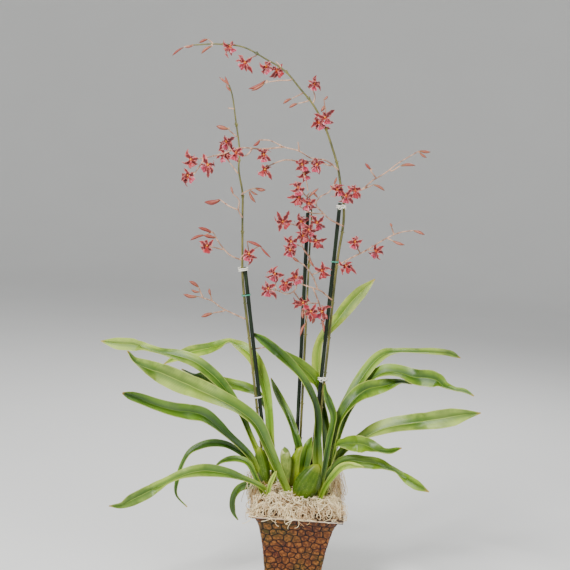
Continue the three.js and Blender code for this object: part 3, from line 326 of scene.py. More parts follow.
SPRAYS = {
    "spray_right_1": {
        "root": [338, 168, 25], "swing": -0.46,
        "twigs": [[[337.5, 169], [326, 160.5], [311, 158], [299, 151], [284, 147], [270, 140.5], [259, 140]],
            [[284, 147], [262, 149], [240, 148], [222, 154], [203, 158], [192, 159]], [[299, 150],
            [298, 142]], [[331, 165.5], [315, 161], [305, 162]], [[302, 162], [285, 160], [268, 166]],
            [[252, 149], [245, 156], [236, 153]], [[203, 160], [195, 173]], [[303, 172], [306, 180],
            [308, 191]]],
        "buds": [[[260, 140], [253, 146], 4]],
        "flowers": [[191, 160, 0, [186, 149], [193, 156], [182, 164], [198, 165]], [188, 176, 0, [181, 180],
            [185, 187], [185, 168], [195, 172]], [208, 165, -4, [203, 153], [213, 174], [208, 179],
            [199, 168]], [224, 155, 4, [220, 150], [229, 161], [216, 158]], [236, 153, -5, [228, 157],
            [245, 156], [238, 163], [243, 147]], [226, 142, 6, [235, 137], [220, 144], [225, 136],
            [218, 151], [233, 149]], [264, 155, -4, [257, 160], [271, 162], [258, 149], [270, 149]],
            [265, 170, 4, [262, 165], [264, 177], [273, 180], [257, 173]], [302, 165, -4, [295, 161],
            [310, 161], [296, 171], [306, 158]], [304, 174, 4, [304, 183], [312, 171], [297, 178]],
            [317, 165, -6, [320, 175], [310, 169], [325, 162], [315, 156]]],
    },
    "spray_right_2": {
        "root": [344, 193, 23], "swing": 0.45,
        "twigs": [[[343.5, 194], [353, 191], [361, 190], [372, 181], [386, 172.5], [397, 164], [419, 151]],
            [[361, 190], [373, 185]], [[391, 171], [400, 166]], [[376, 178], [370, 170]]],
        "buds": [[[373, 184.5], [385, 191], 4], [[419, 151], [431, 152], 4.5], [[419, 152], [427, 158], 3.5],
            [[400, 166], [416, 165.5], 4.5], [[371, 170], [365, 163], 4]],
        "flowers": [[355, 191, -8, [347, 186], [362, 187], [352, 199], [361, 199]]],
    },
    "spray_right_3": {
        "root": [337, 265, 20], "swing": -0.45,
        "twigs": [[[338, 265], [350, 258.5], [365, 251], [387, 238], [400, 232.5], [413, 230.5]],
            [[394, 234.5], [391.5, 227]], [[387, 238], [393, 241]], [[360, 253], [355, 243]], [[368, 250],
            [376, 251]]],
        "buds": [[[413, 230.5], [425, 235], 4], [[392, 227], [390, 223], 3], [[392, 240.5], [405, 245], 4]],
        "flowers": [[355, 242, -6, [347, 243], [353, 236], [363, 240], [358, 251]],
            [376, 251, -6, [384, 246], [385, 254], [368, 254], [379, 261]], [346, 266, -8, [351, 262],
            [354, 267], [358, 274], [341, 275], [338, 261]]],
    },
    "spray_right_4": {
        "root": [343, 226, 19], "swing": -0.5,
        "twigs": [[[343, 226], [331, 220], [324, 214], [316, 204], [320, 197], [329, 192], [334, 184]],
            [[316, 204], [306, 196], [301, 190]], [[324, 214], [310, 212.5], [299, 206]]],
        "buds": [[[308, 198], [319, 188], 3.5], [[334, 185], [337, 177], 3], [[311, 192], [318, 198], 3]],
        "flowers": [[298, 188, -4, [290, 183], [303, 181], [291, 192], [306, 190]],
            [299, 198, -8, [286, 197], [290, 204], [307, 203], [302, 207]], [309, 204, -14, [316, 209],
            [317, 199], [302, 199]]],
    },
    "spray_right_5": {
        "root": [331, 300, 19], "swing": -0.55,
        "twigs": [[[332, 300], [321, 291], [313, 288], [304, 285], [298, 283], [295, 290], [288, 294],
            [276, 290]], [[313, 288], [319, 303], [321, 311]], [[318, 303], [305, 303]], [[318, 290],
            [313, 277], [305, 266], [299, 262]], [[294, 292], [302, 303]], [[303, 303], [304, 312]]],
        "buds": [[[299, 262], [292.5, 257], 4], [[303, 309], [303, 319], 4], [[314, 315], [312, 324], 4],
            [[307, 322], [300, 337], 3.5], [[321, 318], [324, 333], 3.5]],
        "flowers": [[322, 271, -6, [323, 261], [313, 267], [332, 268], [320, 281], [331, 277]],
            [275, 274, 4, [276, 266], [266, 271], [265, 278], [285, 276], [277, 284]],
            [268, 289, -6, [265, 281], [261, 297], [278, 299], [276, 284]], [296, 277, 6, [298, 268],
            [286, 281], [293, 287], [305, 281]], [286, 284, -10, [278, 288], [288, 293], [294, 280]],
            [303, 303, -4, [292, 299], [291, 304], [293, 309], [309, 296]], [311, 312, -12, [302, 308],
            [310, 323], [316, 303]], [322, 312, -4, [331, 305], [328, 320], [323, 325]]],
    },
    "spray_left_1": {
        "root": [242, 193, 12], "swing": -0.4,
        "twigs": [[[242, 194], [249, 190], [256, 188]]],
        "buds": [[[255, 188], [266, 190], 5], [[249, 190.5], [256, 203], 4], [[250, 190], [258, 195], 3]],
        "flowers": [],
    },
    "spray_left_2": {
        "root": [242, 217, 12], "swing": 0.5,
        "twigs": [[[242, 217], [238.5, 210], [239, 200], [233, 194]], [[238.5, 210], [229, 206],
            [220, 199.5]]],
        "buds": [[[233.5, 194.5], [231, 186], 3], [[221, 199.5], [204, 202], 7]],
        "flowers": [],
    },
    "spray_left_3": {
        "root": [242, 260, 12], "swing": -0.35,
        "twigs": [[[242, 260], [230, 255], [220, 244], [213, 232]], [[224, 249.5], [208, 246]], [[242, 256],
            [249, 253]]],
        "buds": [[[213, 233], [198, 227.5], 5], [[216, 238], [203, 235], 5], [[205, 235], [190, 240.5], 4],
            [[247, 241], [262, 247], 4.5], [[260, 246], [271, 258], 3]],
        "flowers": [[207, 246, -5, [199, 241], [200, 250], [214, 240], [212, 252]],
            [249, 254, -8, [257, 259], [250, 266], [243, 258], [255, 248]]],
    },
    "spray_left_4": {
        "root": [246, 319, 13], "swing": -0.45,
        "twigs": [[[246, 319], [233, 313.5], [221, 307.5], [212, 301], [198, 296.5]], [[203, 298],
            [198, 286]], [[212, 301], [210.5, 295]], [[225, 310.5], [213, 313]]],
        "buds": [[[198, 296.5], [183, 294], 5], [[199, 287.5], [189, 281], 5], [[200, 292],
            [191, 289.5], 3.5], [[211, 296], [209.5, 288], 3.5], [[213, 313], [201, 317], 5]],
        "flowers": [],
    },
}

# The view's axes, and the eye
forward = Vector((0, math.cos(EYE_PITCH), -math.sin(EYE_PITCH)))
level = Vector((0, math.sin(EYE_PITCH), math.cos(EYE_PITCH)))
rightward = Vector((1, 0, 0)) * math.cos(EYE_ROLL) + level * math.sin(EYE_ROLL)
upward = Vector((-1, 0, 0)) * math.sin(EYE_ROLL) + level * math.cos(EYE_ROLL)
eye = AIM - forward * EYE_DISTANCE


def seen(px, py, depth):
    """The point at a picture place and a depth."""
    ray = forward + rightward * ((px - PICTURE / 2) / LENS) + upward * ((PICTURE / 2 - py) / LENS)
    return eye + ray * ((depth - eye.y) / ray.y)


def lerp(a, b, t):
    """From a to b by t."""
    return a + (b - a) * t


def smoothstep(t, low, high):
    """0 below low, 1 above high, and smooth between."""
    t = min(1, max(0, (t - low) / (high - low)))
    return t * t * (3 - 2 * t)


def through(values, t):
    """The value at t of a curve through three evenly spaced values."""
    a, b, c = values
    return 2 * a * (t - 0.5) * (t - 1) - 4 * b * t * (t - 1) + 2 * c * t * (t - 0.5)


class Route:
    """A smooth curve through points, with t from 0 to 1 counted point by point."""

    def __init__(self, points):
        self.points = [Vector(p) for p in points]

    def at(self, t):
        """The point at t."""
        pts = self.points
        if len(pts) == 2:
            return pts[0].lerp(pts[1], t)
        place = (len(pts) - 1) * min(1, max(0, t))
        i = min(int(place), len(pts) - 2)
        p1, p2 = pts[i], pts[i + 1]
        p0 = pts[i - 1] if i else p1 * 2 - p2
        p3 = pts[i + 2] if i + 2 < len(pts) else p2 * 2 - p1
        d0, d1, d2 = [max(1e-3, math.sqrt((b - a).length)) for a, b in ((p0, p1), (p1, p2), (p2, p3))]
        m1 = ((p1 - p0) / d0 - (p2 - p0) / (d0 + d1) + (p2 - p1) / d1) * d1
        m2 = ((p2 - p1) / d1 - (p3 - p1) / (d1 + d2) + (p3 - p2) / d2) * d1
        w = place - i
        return (p1 * (2 * w**3 - 3 * w**2 + 1) + m1 * (w**3 - 2 * w**2 + w)
                + p2 * (3 * w**2 - 2 * w**3) + m2 * (w**3 - w**2))

    def along(self, t):
        """The direction at t."""
        return (self.at(min(1, t + 0.001)) - self.at(max(0, t - 0.001))).normalized()

    def steps(self, spacing):
        """Points about a spacing apart, ends included."""
        fine = [self.at(k / 200) for k in range(201)]
        lengths = [0]
        for a, b in zip(fine, fine[1:]):
            lengths.append(lengths[-1] + (b - a).length)
        count = max(1, round(lengths[-1] / spacing))
        found, j = [], 0
        for k in range(count + 1):
            want = lengths[-1] * k / count
            while j < 199 and lengths[j + 1] < want:
                j += 1
            part = (want - lengths[j]) / max(1e-9, lengths[j + 1] - lengths[j])
            found.append(fine[j].lerp(fine[j + 1], min(1, part)))
        return found


def nearest_on(routes, place):
    """The point of some routes that lies nearest to a place."""
    best = None
    for route in routes:
        for a, b in zip(route, route[1:]):
            span = b - a
            t = min(1, max(0, (place - a).dot(span) / max(1e-9, span.length_squared)))
            found = a + span * t
            if best is None or (found - place).length < (best - place).length:
                best = found
    return best


def on_stake(name, py, aside=0):
    """A place on a stake at a picture height, moved sideways."""
    top, foot = STAKES[name]["top"], STAKES[name]["foot"]
    t = (py - top[1]) / (foot[1] - top[1])
    return seen(lerp(top[0], foot[0], t) + aside, py, lerp(top[2], foot[2], t))


# Tools for the pieces

def clear_selection():
    """Deselects everything, so that an operator acts on its own piece alone."""
    for obj in bpy.context.selected_objects:
        obj.select_set(False)


def only(obj):
    """Selects one object and makes it the active one."""
    clear_selection()
    obj.select_set(True)
    bpy.context.view_layer.objects.active = obj


def started(name):
    """The primitive just added, under its name."""
    obj = bpy.context.object
    obj.name = obj.data.name = name
    return obj


def grid(name, across, along):
    """A unit grid with a UV map, ready to be shaped."""
    clear_selection()
    bpy.ops.mesh.primitive_grid_add(x_subdivisions=across, y_subdivisions=along, size=1, calc_uvs=True)
    return started(name)


def shape(obj, place):
    """Moves each vertex of a unit grid to place(u, v), given in millimetres."""
    for vert in obj.data.vertices:
        vert.co = place(vert.co.x + 0.5, vert.co.y + 0.5) * MM
    obj.data.update()


def apply(obj, kind, **settings):
    """Adds a modifier and applies it."""
    only(obj)
    modifier = obj.modifiers.new(kind.title(), kind)
    for key, value in settings.items():
        setattr(modifier, key, value)
    bpy.ops.object.modifier_apply(modifier=modifier.name)


def in_edit(obj, *steps):
    """Runs edit-mode operators on all of a mesh."""
    only(obj)
    bpy.ops.object.mode_set(mode="EDIT")
    bpy.ops.mesh.select_all(action="SELECT")
    for step in steps:
        step()
    bpy.ops.object.mode_set(mode="OBJECT")


def weld(obj):
    """Joins doubled points at seams and poles, and turns the faces outward."""
    in_edit(obj, lambda: bpy.ops.mesh.remove_doubles(threshold=0.00002),
            lambda: bpy.ops.mesh.normals_make_consistent(inside=False))


def smooth(obj, angle=50):
    """Shades a piece smooth, but for edges sharper than an angle in degrees."""
    only(obj)
    bpy.ops.object.shade_smooth_by_angle(angle=math.radians(angle))


def finish(obj, slot, materials, *nodes):
    """Gives a piece its finishes, hangs it on the root body and hides the parts that it stands for. The slot
    is not used.
    """
    if materials:
        obj.data.materials.clear()
        for material in materials:
            obj.data.materials.append(material)
    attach(obj, "root")
    if nodes:
        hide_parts(*nodes)
    return obj


def tubes(name, strands, sides=1):
    """Round stems: each strand is a list of points with a radius, in millimetres."""
    clear_selection()
    bpy.ops.curve.primitive_nurbs_path_add()
    obj = started(name)
    curve = obj.data
    curve.splines.clear()
    curve.dimensions = "3D"
    curve.bevel_depth = MM
    curve.bevel_resolution = sides
    curve.use_fill_caps = True
    for strand in strands:
        spline = curve.splines.new("POLY")
        spline.points.add(len(strand) - 1)
        for point, (place, radius) in zip(spline.points, strand):
            point.co = (*(place * MM), 1)
            point.radius = radius
    bpy.ops.object.convert(target="MESH")
    obj = bpy.context.object
    obj.location = (0, 0, 0)
    return obj


def tapered(points, start, end):
    """A strand whose radius goes evenly from start to end."""
    last = len(points) - 1
    return [(p, lerp(start, end, i / last)) for i, p in enumerate(points)]


class Heap:
    """Copies of modelled shapes, each placed by a function, gathered into one piece."""

    def __init__(self):
        self.verts, self.faces, self.uvs, self.slots, self.tones = [], [], [], [], []

    def add(self, master, place, slot, tone):
        """Adds one copy of a master, with each point moved by place."""
        points, faces, uvs = master
        start = len(self.verts)
        self.verts += [place(p) * MM for p in points]
        self.faces += [[start + i for i in face] for face in faces]
        self.uvs += uvs
        self.slots += [slot] * len(faces)
        self.tones += [tone] * len(points)

    def take(self, obj, slot, tone):
        """Adds a whole modelled shape as it stands."""
        self.add(master_of(obj), lambda p: p, slot, tone)

    def piece(self, name, materials):
        """All that was gathered, as one object."""
        mesh = bpy.data.meshes.new(name)
        mesh.from_pydata(self.verts, [], self.faces)
        mesh.uv_layers.new(name="UVMap").data.foreach_set("uv", [c for uv in self.uvs for c in uv])
        mesh.attributes.new("tone", "FLOAT", "POINT").data.foreach_set("value", self.tones)
        for material in materials:
            mesh.materials.append(material)
        mesh.polygons.foreach_set("material_index", self.slots)
        obj = bpy.data.objects.new(name, mesh)
        bpy.context.collection.objects.link(obj)
        return obj


def master_of(obj):
    """A modelled shape as points, faces and UVs in millimetres. The object itself is then gone."""
    mesh = obj.data
    layer = mesh.uv_layers.active
    points = [v.co / MM for v in mesh.vertices]
    faces = [list(p.vertices) for p in mesh.polygons]
    uvs = [tuple(layer.data[i].uv) if layer else (0, 0) for p in mesh.polygons for i in p.loop_indices]
    bpy.data.objects.remove(obj)
    return points, faces, uvs


# Materials

def feed(tree, socket, value):
    """Links a shader socket to a value, or sets it."""
    if isinstance(value, Value):
        tree.links.new(value.socket, socket)
    elif isinstance(value, bpy.types.NodeSocket):
        tree.links.new(value, socket)
    else:
        socket.default_value = value


class Value:
    """A number that varies over a surface. Operators add Math nodes."""

    def __init__(self, tree, socket):
        self.tree, self.socket = tree, socket

    def math(self, operation, *others, flip=False):
        """A Math node on this value and others, with this value last where it is flipped."""
        node = self.tree.nodes.new("ShaderNodeMath")
        node.operation = operation
        for i, value in enumerate([*others, self] if flip else [self, *others]):
            feed(self.tree, node.inputs[i], value)
        return Value(self.tree, node.outputs[0])

    def __add__(self, other):
        return self.math("ADD", other)

    def __radd__(self, other):
        return self.math("ADD", other)

    def __sub__(self, other):
        return self.math("SUBTRACT", other)

    def __rsub__(self, other):
        return self.math("SUBTRACT", other, flip=True)

    def __mul__(self, other):
        return self.math("MULTIPLY", other)

    def __rmul__(self, other):
        return self.math("MULTIPLY", other)

    def clamped(self):
        return self.math("MAXIMUM", 0).math("MINIMUM", 1)

    def sine(self):
        return self.math("SINE")

    def size(self):
        return self.math("ABSOLUTE")

    def step(self, low, high):
        """0 below low, 1 above high, and smooth between."""
        node = self.tree.nodes.new("ShaderNodeMapRange")
        node.interpolation_type = "SMOOTHSTEP"
        self.tree.links.new(self.socket, node.inputs["Value"])
        node.inputs["From Min"].default_value, node.inputs["From Max"].default_value = low, high
        return Value(self.tree, node.outputs["Result"])


class Finish:
    """A material under construction."""

    def __init__(self, name, roughness=0.5, metallic=0.0, **constants):
        self.material = bpy.data.materials.new(name)
        self.material.use_nodes = True
        self.tree = self.material.node_tree
        self.shader = self.tree.nodes["Principled BSDF"]
        self.shader.inputs["Roughness"].default_value = roughness
        self.shader.inputs["Metallic"].default_value = metallic
        for key, value in constants.items():
            self.shader.inputs[key.replace("_", " ")].default_value = value

    def node(self, kind, settings=None, **inputs):
        """Any other node: its type, its settings, and the values or links of its sockets."""
        node = self.tree.nodes.new(kind)
        for key, value in (settings or {}).items():
            setattr(node, key, value)
        for key, value in inputs.items():
            feed(self.tree, node.inputs[key.replace("_", " ")], value)
        return node

    def place(self):
        """Where a point lies, in metres."""
        return self.node("ShaderNodeTexCoord").outputs["Object"]

    def uv(self):
        """The piece's own U and V."""
        parts = self.node("ShaderNodeSeparateXYZ", Vector=self.node("ShaderNodeUVMap").outputs["UV"])
        return Value(self.tree, parts.outputs["X"]), Value(self.tree, parts.outputs["Y"])

    def tone(self, name="tone"):
        """A number that the piece's points carry, from 0 to 1."""
        return Value(self.tree, self.node("ShaderNodeAttribute", {"attribute_name": name}).outputs["Fac"])

    def noise(self, scale, detail=3.0, stretch=(1, 1, 1), rough=0.5):
        """A cloudy pattern about 0.5, with its scale in clouds a metre."""
        spread = self.node("ShaderNodeMapping", Vector=self.place(), Scale=stretch)
        node = self.node("ShaderNodeTexNoise", Vector=spread.outputs["Vector"], Scale=scale,
                         Detail=detail, Roughness=rough)
        return Value(self.tree, node.outputs["Fac"])

    def mix(self, share, a, b):
        """From colour a to colour b by a share."""
        node = self.tree.nodes.new("ShaderNodeMix")
        node.data_type = "RGBA"
        feed(self.tree, node.inputs["Factor"], share)
        for slot, colour in ((6, a), (7, b)):
            feed(self.tree, node.inputs[slot], (*colour, 1) if isinstance(colour, tuple) else colour)
        return node.outputs[2]

    def coat(self, share, colour):
        """Lays a colour over the base colour by a share."""
        self.base = self.mix(share, self.base, colour)

    def set(self, **links):
        """Feeds the shader's sockets."""
        for key, value in links.items():
            feed(self.tree, self.shader.inputs[key.replace("_", " ")], value)

    def bump(self, height, distance, strength=1.0):
        """Raises the surface by a pattern, over a distance in metres."""
        node = self.node("ShaderNodeBump", Height=height, Distance=distance, Strength=strength)
        self.set(Normal=node.outputs["Normal"])

    def wave(self, value, times):
        """A ripple from 0 to 1 that repeats a number of times."""
        return (value * (2 * math.pi * times)).sine() * 0.5 + 0.5


def rgb(red, green, blue):
    """A colour given as on a screen, 0 to 255."""
    shares = (red / 255, green / 255, blue / 255)
    return tuple(c / 12.92 if c < 0.0392 else ((c + 0.055) / 1.055) ** 2.4 for c in shares)


# Finishes

def leaf_finish(name, dark, mid, light):
    """Strap leaf: fine parallel veins, a pale midrib and edge, a paler foot, a painted highlight on the
    outer halves, and painted shade along the midrib fold and towards the foot.
    """
    look = Finish(name, roughness=0.4, Specular_IOR_Level=0.5)
    u, v = look.uv()
    away = (u - 0.5).size() * 2
    drift = look.noise(30, 2) - 0.5
    veins = look.wave(u + drift * 0.012, 17)
    cloud = look.noise(24, 4, rough=0.6)
    streak = look.noise(10, 3)
    look.base = look.mix(cloud.step(0.3, 0.72), dark, mid)
    look.coat((streak.step(0.42, 0.75) * (0.35 + veins * 0.4) + veins * 0.14).clamped(), light)
    # Painted highlight: the outer halves of the blade made lighter in patches, away from the foot.
    painted_highlight = away.step(0.3, 0.75) * cloud.step(0.34, 0.6) * v.step(0.25, 0.6)
    look.coat(painted_highlight * 0.4, light)
    # Painted shade: darker along the midrib fold and towards the foot.
    painted_shade = (1 - away.step(0.08, 0.6)) * (0.35 + cloud * 0.5)
    look.coat((painted_shade + (1 - v.step(0.12, 0.55)) * 0.45).clamped() * 0.85, dark)
    look.coat((1 - away.step(0.0, 0.07)) * 0.6, light)
    look.coat(away.step(0.88, 0.99) * 0.55, rgb(192, 200, 96))
    look.coat((1 - v.step(0.0, 0.16)) * 0.55, rgb(150, 172, 34))
    look.coat(v.step(0.97, 1.0) * 0.8, rgb(186, 150, 76))
    groove = away.step(0.0, 0.05) * 0.6 + veins * 0.14 + cloud * 0.2
    look.set(Base_Color=look.base, Roughness=0.3 + cloud * 0.2)
    look.bump(groove, 0.0007, 0.8)
    return look.material


def bulb_finish(name, shade, light):
    """Bulb: green skin with faint ribs, yellower above, brown and papery at its foot."""
    look = Finish(name, roughness=0.36, Specular_IOR_Level=0.32)
    u, v = look.uv()
    cloud = look.noise(45, 4)
    fleck = look.noise(700, 2)
    ribs = look.wave(u + (cloud - 0.5) * 0.02, 16)
    look.base = look.mix(cloud.step(0.3, 0.7), shade, light)
    look.coat(ribs * 0.08, rgb(160, 178, 60))
    look.coat(fleck.step(0.62, 0.72) * 0.3, rgb(186, 196, 120))
    look.coat(v.step(0.75, 1.0) * 0.55, rgb(170, 178, 50))
    look.coat((1 - v.step(0.03, 0.2)) * 0.7, rgb(150, 120, 50))
    look.set(Base_Color=look.base, Roughness=0.3 + cloud * 0.2)
    look.bump(ribs * 0.3 + cloud * 0.5 + fleck * 0.1, 0.0006, 0.5)
    return look.material


def dried_finish():
    """The old bulb: dull green below, with a whitish, papery dried top."""
    look = Finish("bulb_dried", roughness=0.6)
    u, v = look.uv()
    cloud = look.noise(90, 4)
    wrinkle = look.wave(u + (cloud - 0.5) * 0.1, 14)
    look.base = look.mix(cloud.step(0.3, 0.7), rgb(92, 116, 28), rgb(142, 160, 66))
    look.coat((v.step(0.72, 1.0) * cloud.step(0.44, 0.56)).clamped(), rgb(222, 218, 168))
    look.coat((v.step(0.9, 1.0) * cloud.step(0.5, 0.6)).clamped(), rgb(120, 84, 44))
    look.coat((1 - v.step(0.05, 0.25)) * 0.7, rgb(140, 112, 56))
    look.set(Base_Color=look.base, Roughness=0.45 + cloud * 0.3)
    look.bump(wrinkle * 0.7 + cloud, 0.0012, 0.7)
    return look.material


def stem_finish(name, low, high):
    """Stem: a waxy skin, mottled along its length."""
    look = Finish(name, roughness=0.5)
    mottle = look.noise(160, 3, stretch=(1, 1, 0.25))
    patch = look.noise(28, 2)
    look.base = look.mix((mottle * 0.6 + patch * 0.4).step(0.36, 0.62), low, high)
    look.set(Base_Color=look.base, Roughness=0.4 + mottle * 0.25)
    look.bump(mottle, 0.0003, 0.5)
    return look.material


def petal_finish():
    """Tepal: orange at the foot, deep crimson along the blade and pink at the tip, with a pink edge that is
    partly its own colour and partly a painted highlight, and dark flecks.
    """
    look = Finish("tepal", roughness=0.45, Sheen_Weight=0.1)
    u, v = look.uv()
    tone = look.tone()
    fleck = look.noise(420, 3)
    away = (u - 0.5).size() * 2
    look.base = look.mix(v.step(0.04, 0.34), rgb(156, 44, 8), rgb(112, 4, 12))
    look.coat((v.step(0.45, 1.0) * 0.6 * tone.step(0.1, 0.7)).clamped(), rgb(196, 52, 64))
    look.coat(fleck.step(0.48, 0.6) * 0.7, rgb(70, 3, 9))
    look.coat((1 - away.step(0.0, 0.25)) * 0.5, rgb(78, 4, 12))
    # The pink edge: partly the tepal's own pink margin, partly a painted highlight.
    look.coat((away.step(0.5, 0.92) * 0.8).clamped(), rgb(226, 120, 112))
    look.coat((1 - tone.step(0.0, 0.35)) * 0.5, rgb(80, 6, 14))
    look.set(Base_Color=look.base, Roughness=0.36 + fleck * 0.2)
    look.bump(fleck * 0.5 + away * 0.3, 0.0004, 0.6)
    return look.material


def lip_finish():
    """Lip: orange callus at the foot, then pink with a paler, finely spotted rim; the paler rim is partly
    the lip's own colour and partly a painted highlight.
    """
    look = Finish("flower_lip", roughness=0.45, Sheen_Weight=0.15)
    u, v = look.uv()
    tone = look.tone()
    fleck = look.noise(520, 2)
    away = (u - 0.5).size() * 2
    look.base = look.mix(v.step(0.12, 0.32), rgb(214, 96, 10), rgb(128, 6, 24))
    look.coat(v.step(0.5, 0.95) * 0.6, rgb(214, 70, 104))
    # The paler rim: partly the lip's own colour, partly a painted highlight.
    look.coat((away.step(0.6, 1.0) * 0.65).clamped(), rgb(244, 176, 188))
    look.coat(tone.step(0.55, 0.75) * 0.75, rgb(160, 24, 20))
    look.coat(fleck.step(0.54, 0.64) * 0.6, rgb(112, 8, 26))
    look.set(Base_Color=look.base, Roughness=0.36 + fleck * 0.2)
    look.bump(fleck, 0.0003, 0.5)
    return look.material


def column_finish():
    """Column: yellow with a rusty grain."""
    look = Finish("flower_column", roughness=0.4)
    grain = look.noise(380, 2)
    look.base = look.mix(grain.step(0.4, 0.62), rgb(240, 166, 44), rgb(190, 56, 20))
    look.set(Base_Color=look.base)
    look.bump(grain, 0.0002, 0.5)
    return look.material


def bud_finish():
    """Bud: tan at the foot, dusty rose above, with darker seams and tip."""
    look = Finish("bud", roughness=0.45)
    u, v = look.uv()
    tone = look.tone()
    grain = look.noise(260, 3)
    look.base = look.mix(v.step(0.0, 0.4), rgb(118, 88, 42), rgb(150, 66, 54))
    look.coat(v.step(0.6, 1.0) * 0.7, rgb(98, 22, 24))
    look.coat(look.wave(u, 3) * 0.45, rgb(196, 142, 104))
    look.coat(grain.step(0.5, 0.7) * 0.5, rgb(122, 40, 38))
    look.coat(tone.step(0.6, 0.9) * 0.6, rgb(132, 26, 30))
    look.set(Base_Color=look.base, Roughness=0.34 + grain * 0.2)
    look.bump(grain + look.wave(u, 3), 0.0003, 0.4)
    return look.material


def wool_finish(name, light, dark):
    """Wood wool: dry, fibrous strands, each layer with its own tone, the lower layers darker as painted
    shade.
    """
    look = Finish(name, roughness=0.85)
    tone = look.tone()
    grain = look.noise(300, 3, stretch=(1, 1, 0.4))
    look.base = look.mix((tone * 0.8 + grain * 0.4).clamped(), dark, light)
    look.set(Base_Color=look.base, Roughness=0.7 + grain * 0.2)
    look.bump(grain, 0.0003, 0.6)
    return look.material


def mix_finish(name, light, dark):
    """Bark mix and roots: rough, of two tones."""
    look = Finish(name, roughness=0.9)
    chips = look.noise(120, 5)
    look.set(Base_Color=look.mix(chips.step(0.35, 0.65), dark, light), Roughness=0.8 + chips * 0.15)
    look.bump(chips, 0.002, 0.8)
    return look.material


def pot_finish():
    """Planter: aged copper scales in patches of olive gold and rust, with dark joints, a painted highlight
    on the proud middle of each scale, and a pale lip.
    """
    look = Finish("planter_copper", roughness=0.4, metallic=0.3)
    joint, cell, edge = look.tone("joint"), look.tone("cell"), look.tone("edge")
    patch = look.noise(17, 2)
    rust = look.noise(19, 2, stretch=(1, 1, 1.4))
    grain = look.noise(240, 4)
    look.base = look.mix(patch.step(0.42, 0.56), rgb(80, 34, 2), rgb(68, 54, 1))
    look.coat(rust.step(0.5, 0.62) * 0.8, rgb(76, 22, 3))
    look.coat(cell.step(0.2, 0.9) * 0.35, rgb(116, 64, 6))
    # Painted highlight: a pale copper on the proud middles of the scales, broken up by grain.
    look.coat(joint.step(0.6, 1.0) * grain.step(0.42, 0.66) * 0.6, rgb(172, 106, 42))
    look.coat((1 - joint.step(0.15, 0.8)) * 0.97, rgb(22, 6, 1))
    look.coat(edge.step(0.2, 0.4), rgb(44, 28, 20))
    look.coat(edge.step(0.7, 0.9), rgb(222, 202, 182))
    rough = 0.6 - joint * 0.3 + grain * 0.14
    look.set(Base_Color=look.base, Roughness=rough.clamped())
    look.bump(grain * 0.5 + patch * 0.4, 0.0006, 0.5)
    return look.material


def stake_finish():
    """Stake: dark green coat with fine lengthwise scuffs."""
    look = Finish("stake_coat", roughness=0.42, Specular_IOR_Level=0.3)
    scuff = look.noise(300, 4, stretch=(1, 1, 0.04))
    patch = look.noise(20, 2)
    look.base = look.mix(patch.step(0.35, 0.65), rgb(8, 20, 8), rgb(18, 34, 14))
    look.coat(scuff.step(0.52, 0.75) * 0.35, rgb(70, 90, 46))
    look.set(Base_Color=look.base, Roughness=0.34 + scuff * 0.25)
    look.bump(scuff, 0.0004, 0.6)
    return look.material


def tie_finish(name, colour):
    """Tie: a smooth, coated cord."""
    look = Finish(name, roughness=0.45)
    grain = look.noise(420, 3)
    look.base = look.mix(grain.step(0.4, 0.7), colour, tuple(c * 0.72 for c in colour))
    look.set(Base_Color=look.base, Roughness=0.35 + grain * 0.25)
    look.bump(grain, 0.0002, 0.4)
    return look.material


LEAF = leaf_finish("leaf_green", rgb(34, 72, 2), rgb(76, 118, 4), rgb(150, 182, 40))
# A lighter copy of the leaf finish, for leaves in the light: painted light.
LEAF_LIT = leaf_finish("leaf_lit", rgb(40, 84, 2), rgb(100, 140, 20), rgb(188, 210, 92))
LEAF_PALE = leaf_finish("leaf_pale", rgb(82, 126, 4), rgb(146, 178, 32), rgb(218, 230, 108))
# A darker copy of the leaf finish, for leaves in shade: painted shade.
LEAF_SHADED = leaf_finish("leaf_shaded", rgb(20, 54, 1), rgb(48, 90, 2), rgb(106, 146, 20))
BULB_GREEN = bulb_finish("bulb_green", rgb(42, 74, 0), rgb(78, 108, 2))
BULB_YELLOW = bulb_finish("bulb_yellow", rgb(96, 124, 4), rgb(138, 160, 14))
BULB_DRIED = dried_finish()
SPIKE = stem_finish("spike_skin", rgb(62, 66, 22), rgb(112, 106, 44))
TWIG = stem_finish("twig_skin", rgb(128, 82, 62), rgb(214, 172, 142))
PETAL, LIP, COLUMN, BUD = petal_finish(), lip_finish(), column_finish(), bud_finish()
BLOOM = (SPIKE, TWIG, BUD, PETAL, LIP, COLUMN)
ON_SPIKE, ON_TWIG, ON_BUD, ON_PETAL, ON_LIP, ON_COLUMN = range(len(BLOOM))
WOOL = wool_finish("wool_strand", rgb(255, 238, 194), rgb(172, 124, 72))
# The bed's finish is painted shade: a dark brown for the shadowed depths under the strands.
WOOL_SHADE_BED = wool_finish("wool_shade_bed", rgb(104, 70, 38), rgb(36, 20, 10))
BARK_MIX = mix_finish("bark_mix", rgb(110, 76, 48), rgb(40, 26, 16))
ROOT = mix_finish("root_skin", rgb(196, 186, 140), rgb(120, 104, 66))
POT = pot_finish()
STAKE = stake_finish()
TIE_WHITE = tie_finish("tie_white", rgb(240, 238, 224))
TIE_GREEN = tie_finish("tie_green", rgb(70, 152, 124))


# Planter, mix and wood wool

def square_point(half, z, turn):
    """A point of a rounded square, with turn from 0 to 1 round it."""
    quarter = (turn * 4) % 4
    along = -1 + 2 * (quarter % 1)
    x, y = [(1, along), (-along, 1), (-1, -along), (along, -1)][int(quarter)]
    norm = (abs(x) ** CORNER_POWER + abs(y) ** CORNER_POWER) ** (1 / CORNER_POWER)
    return Vector((half * x / norm, half * y / norm, z))


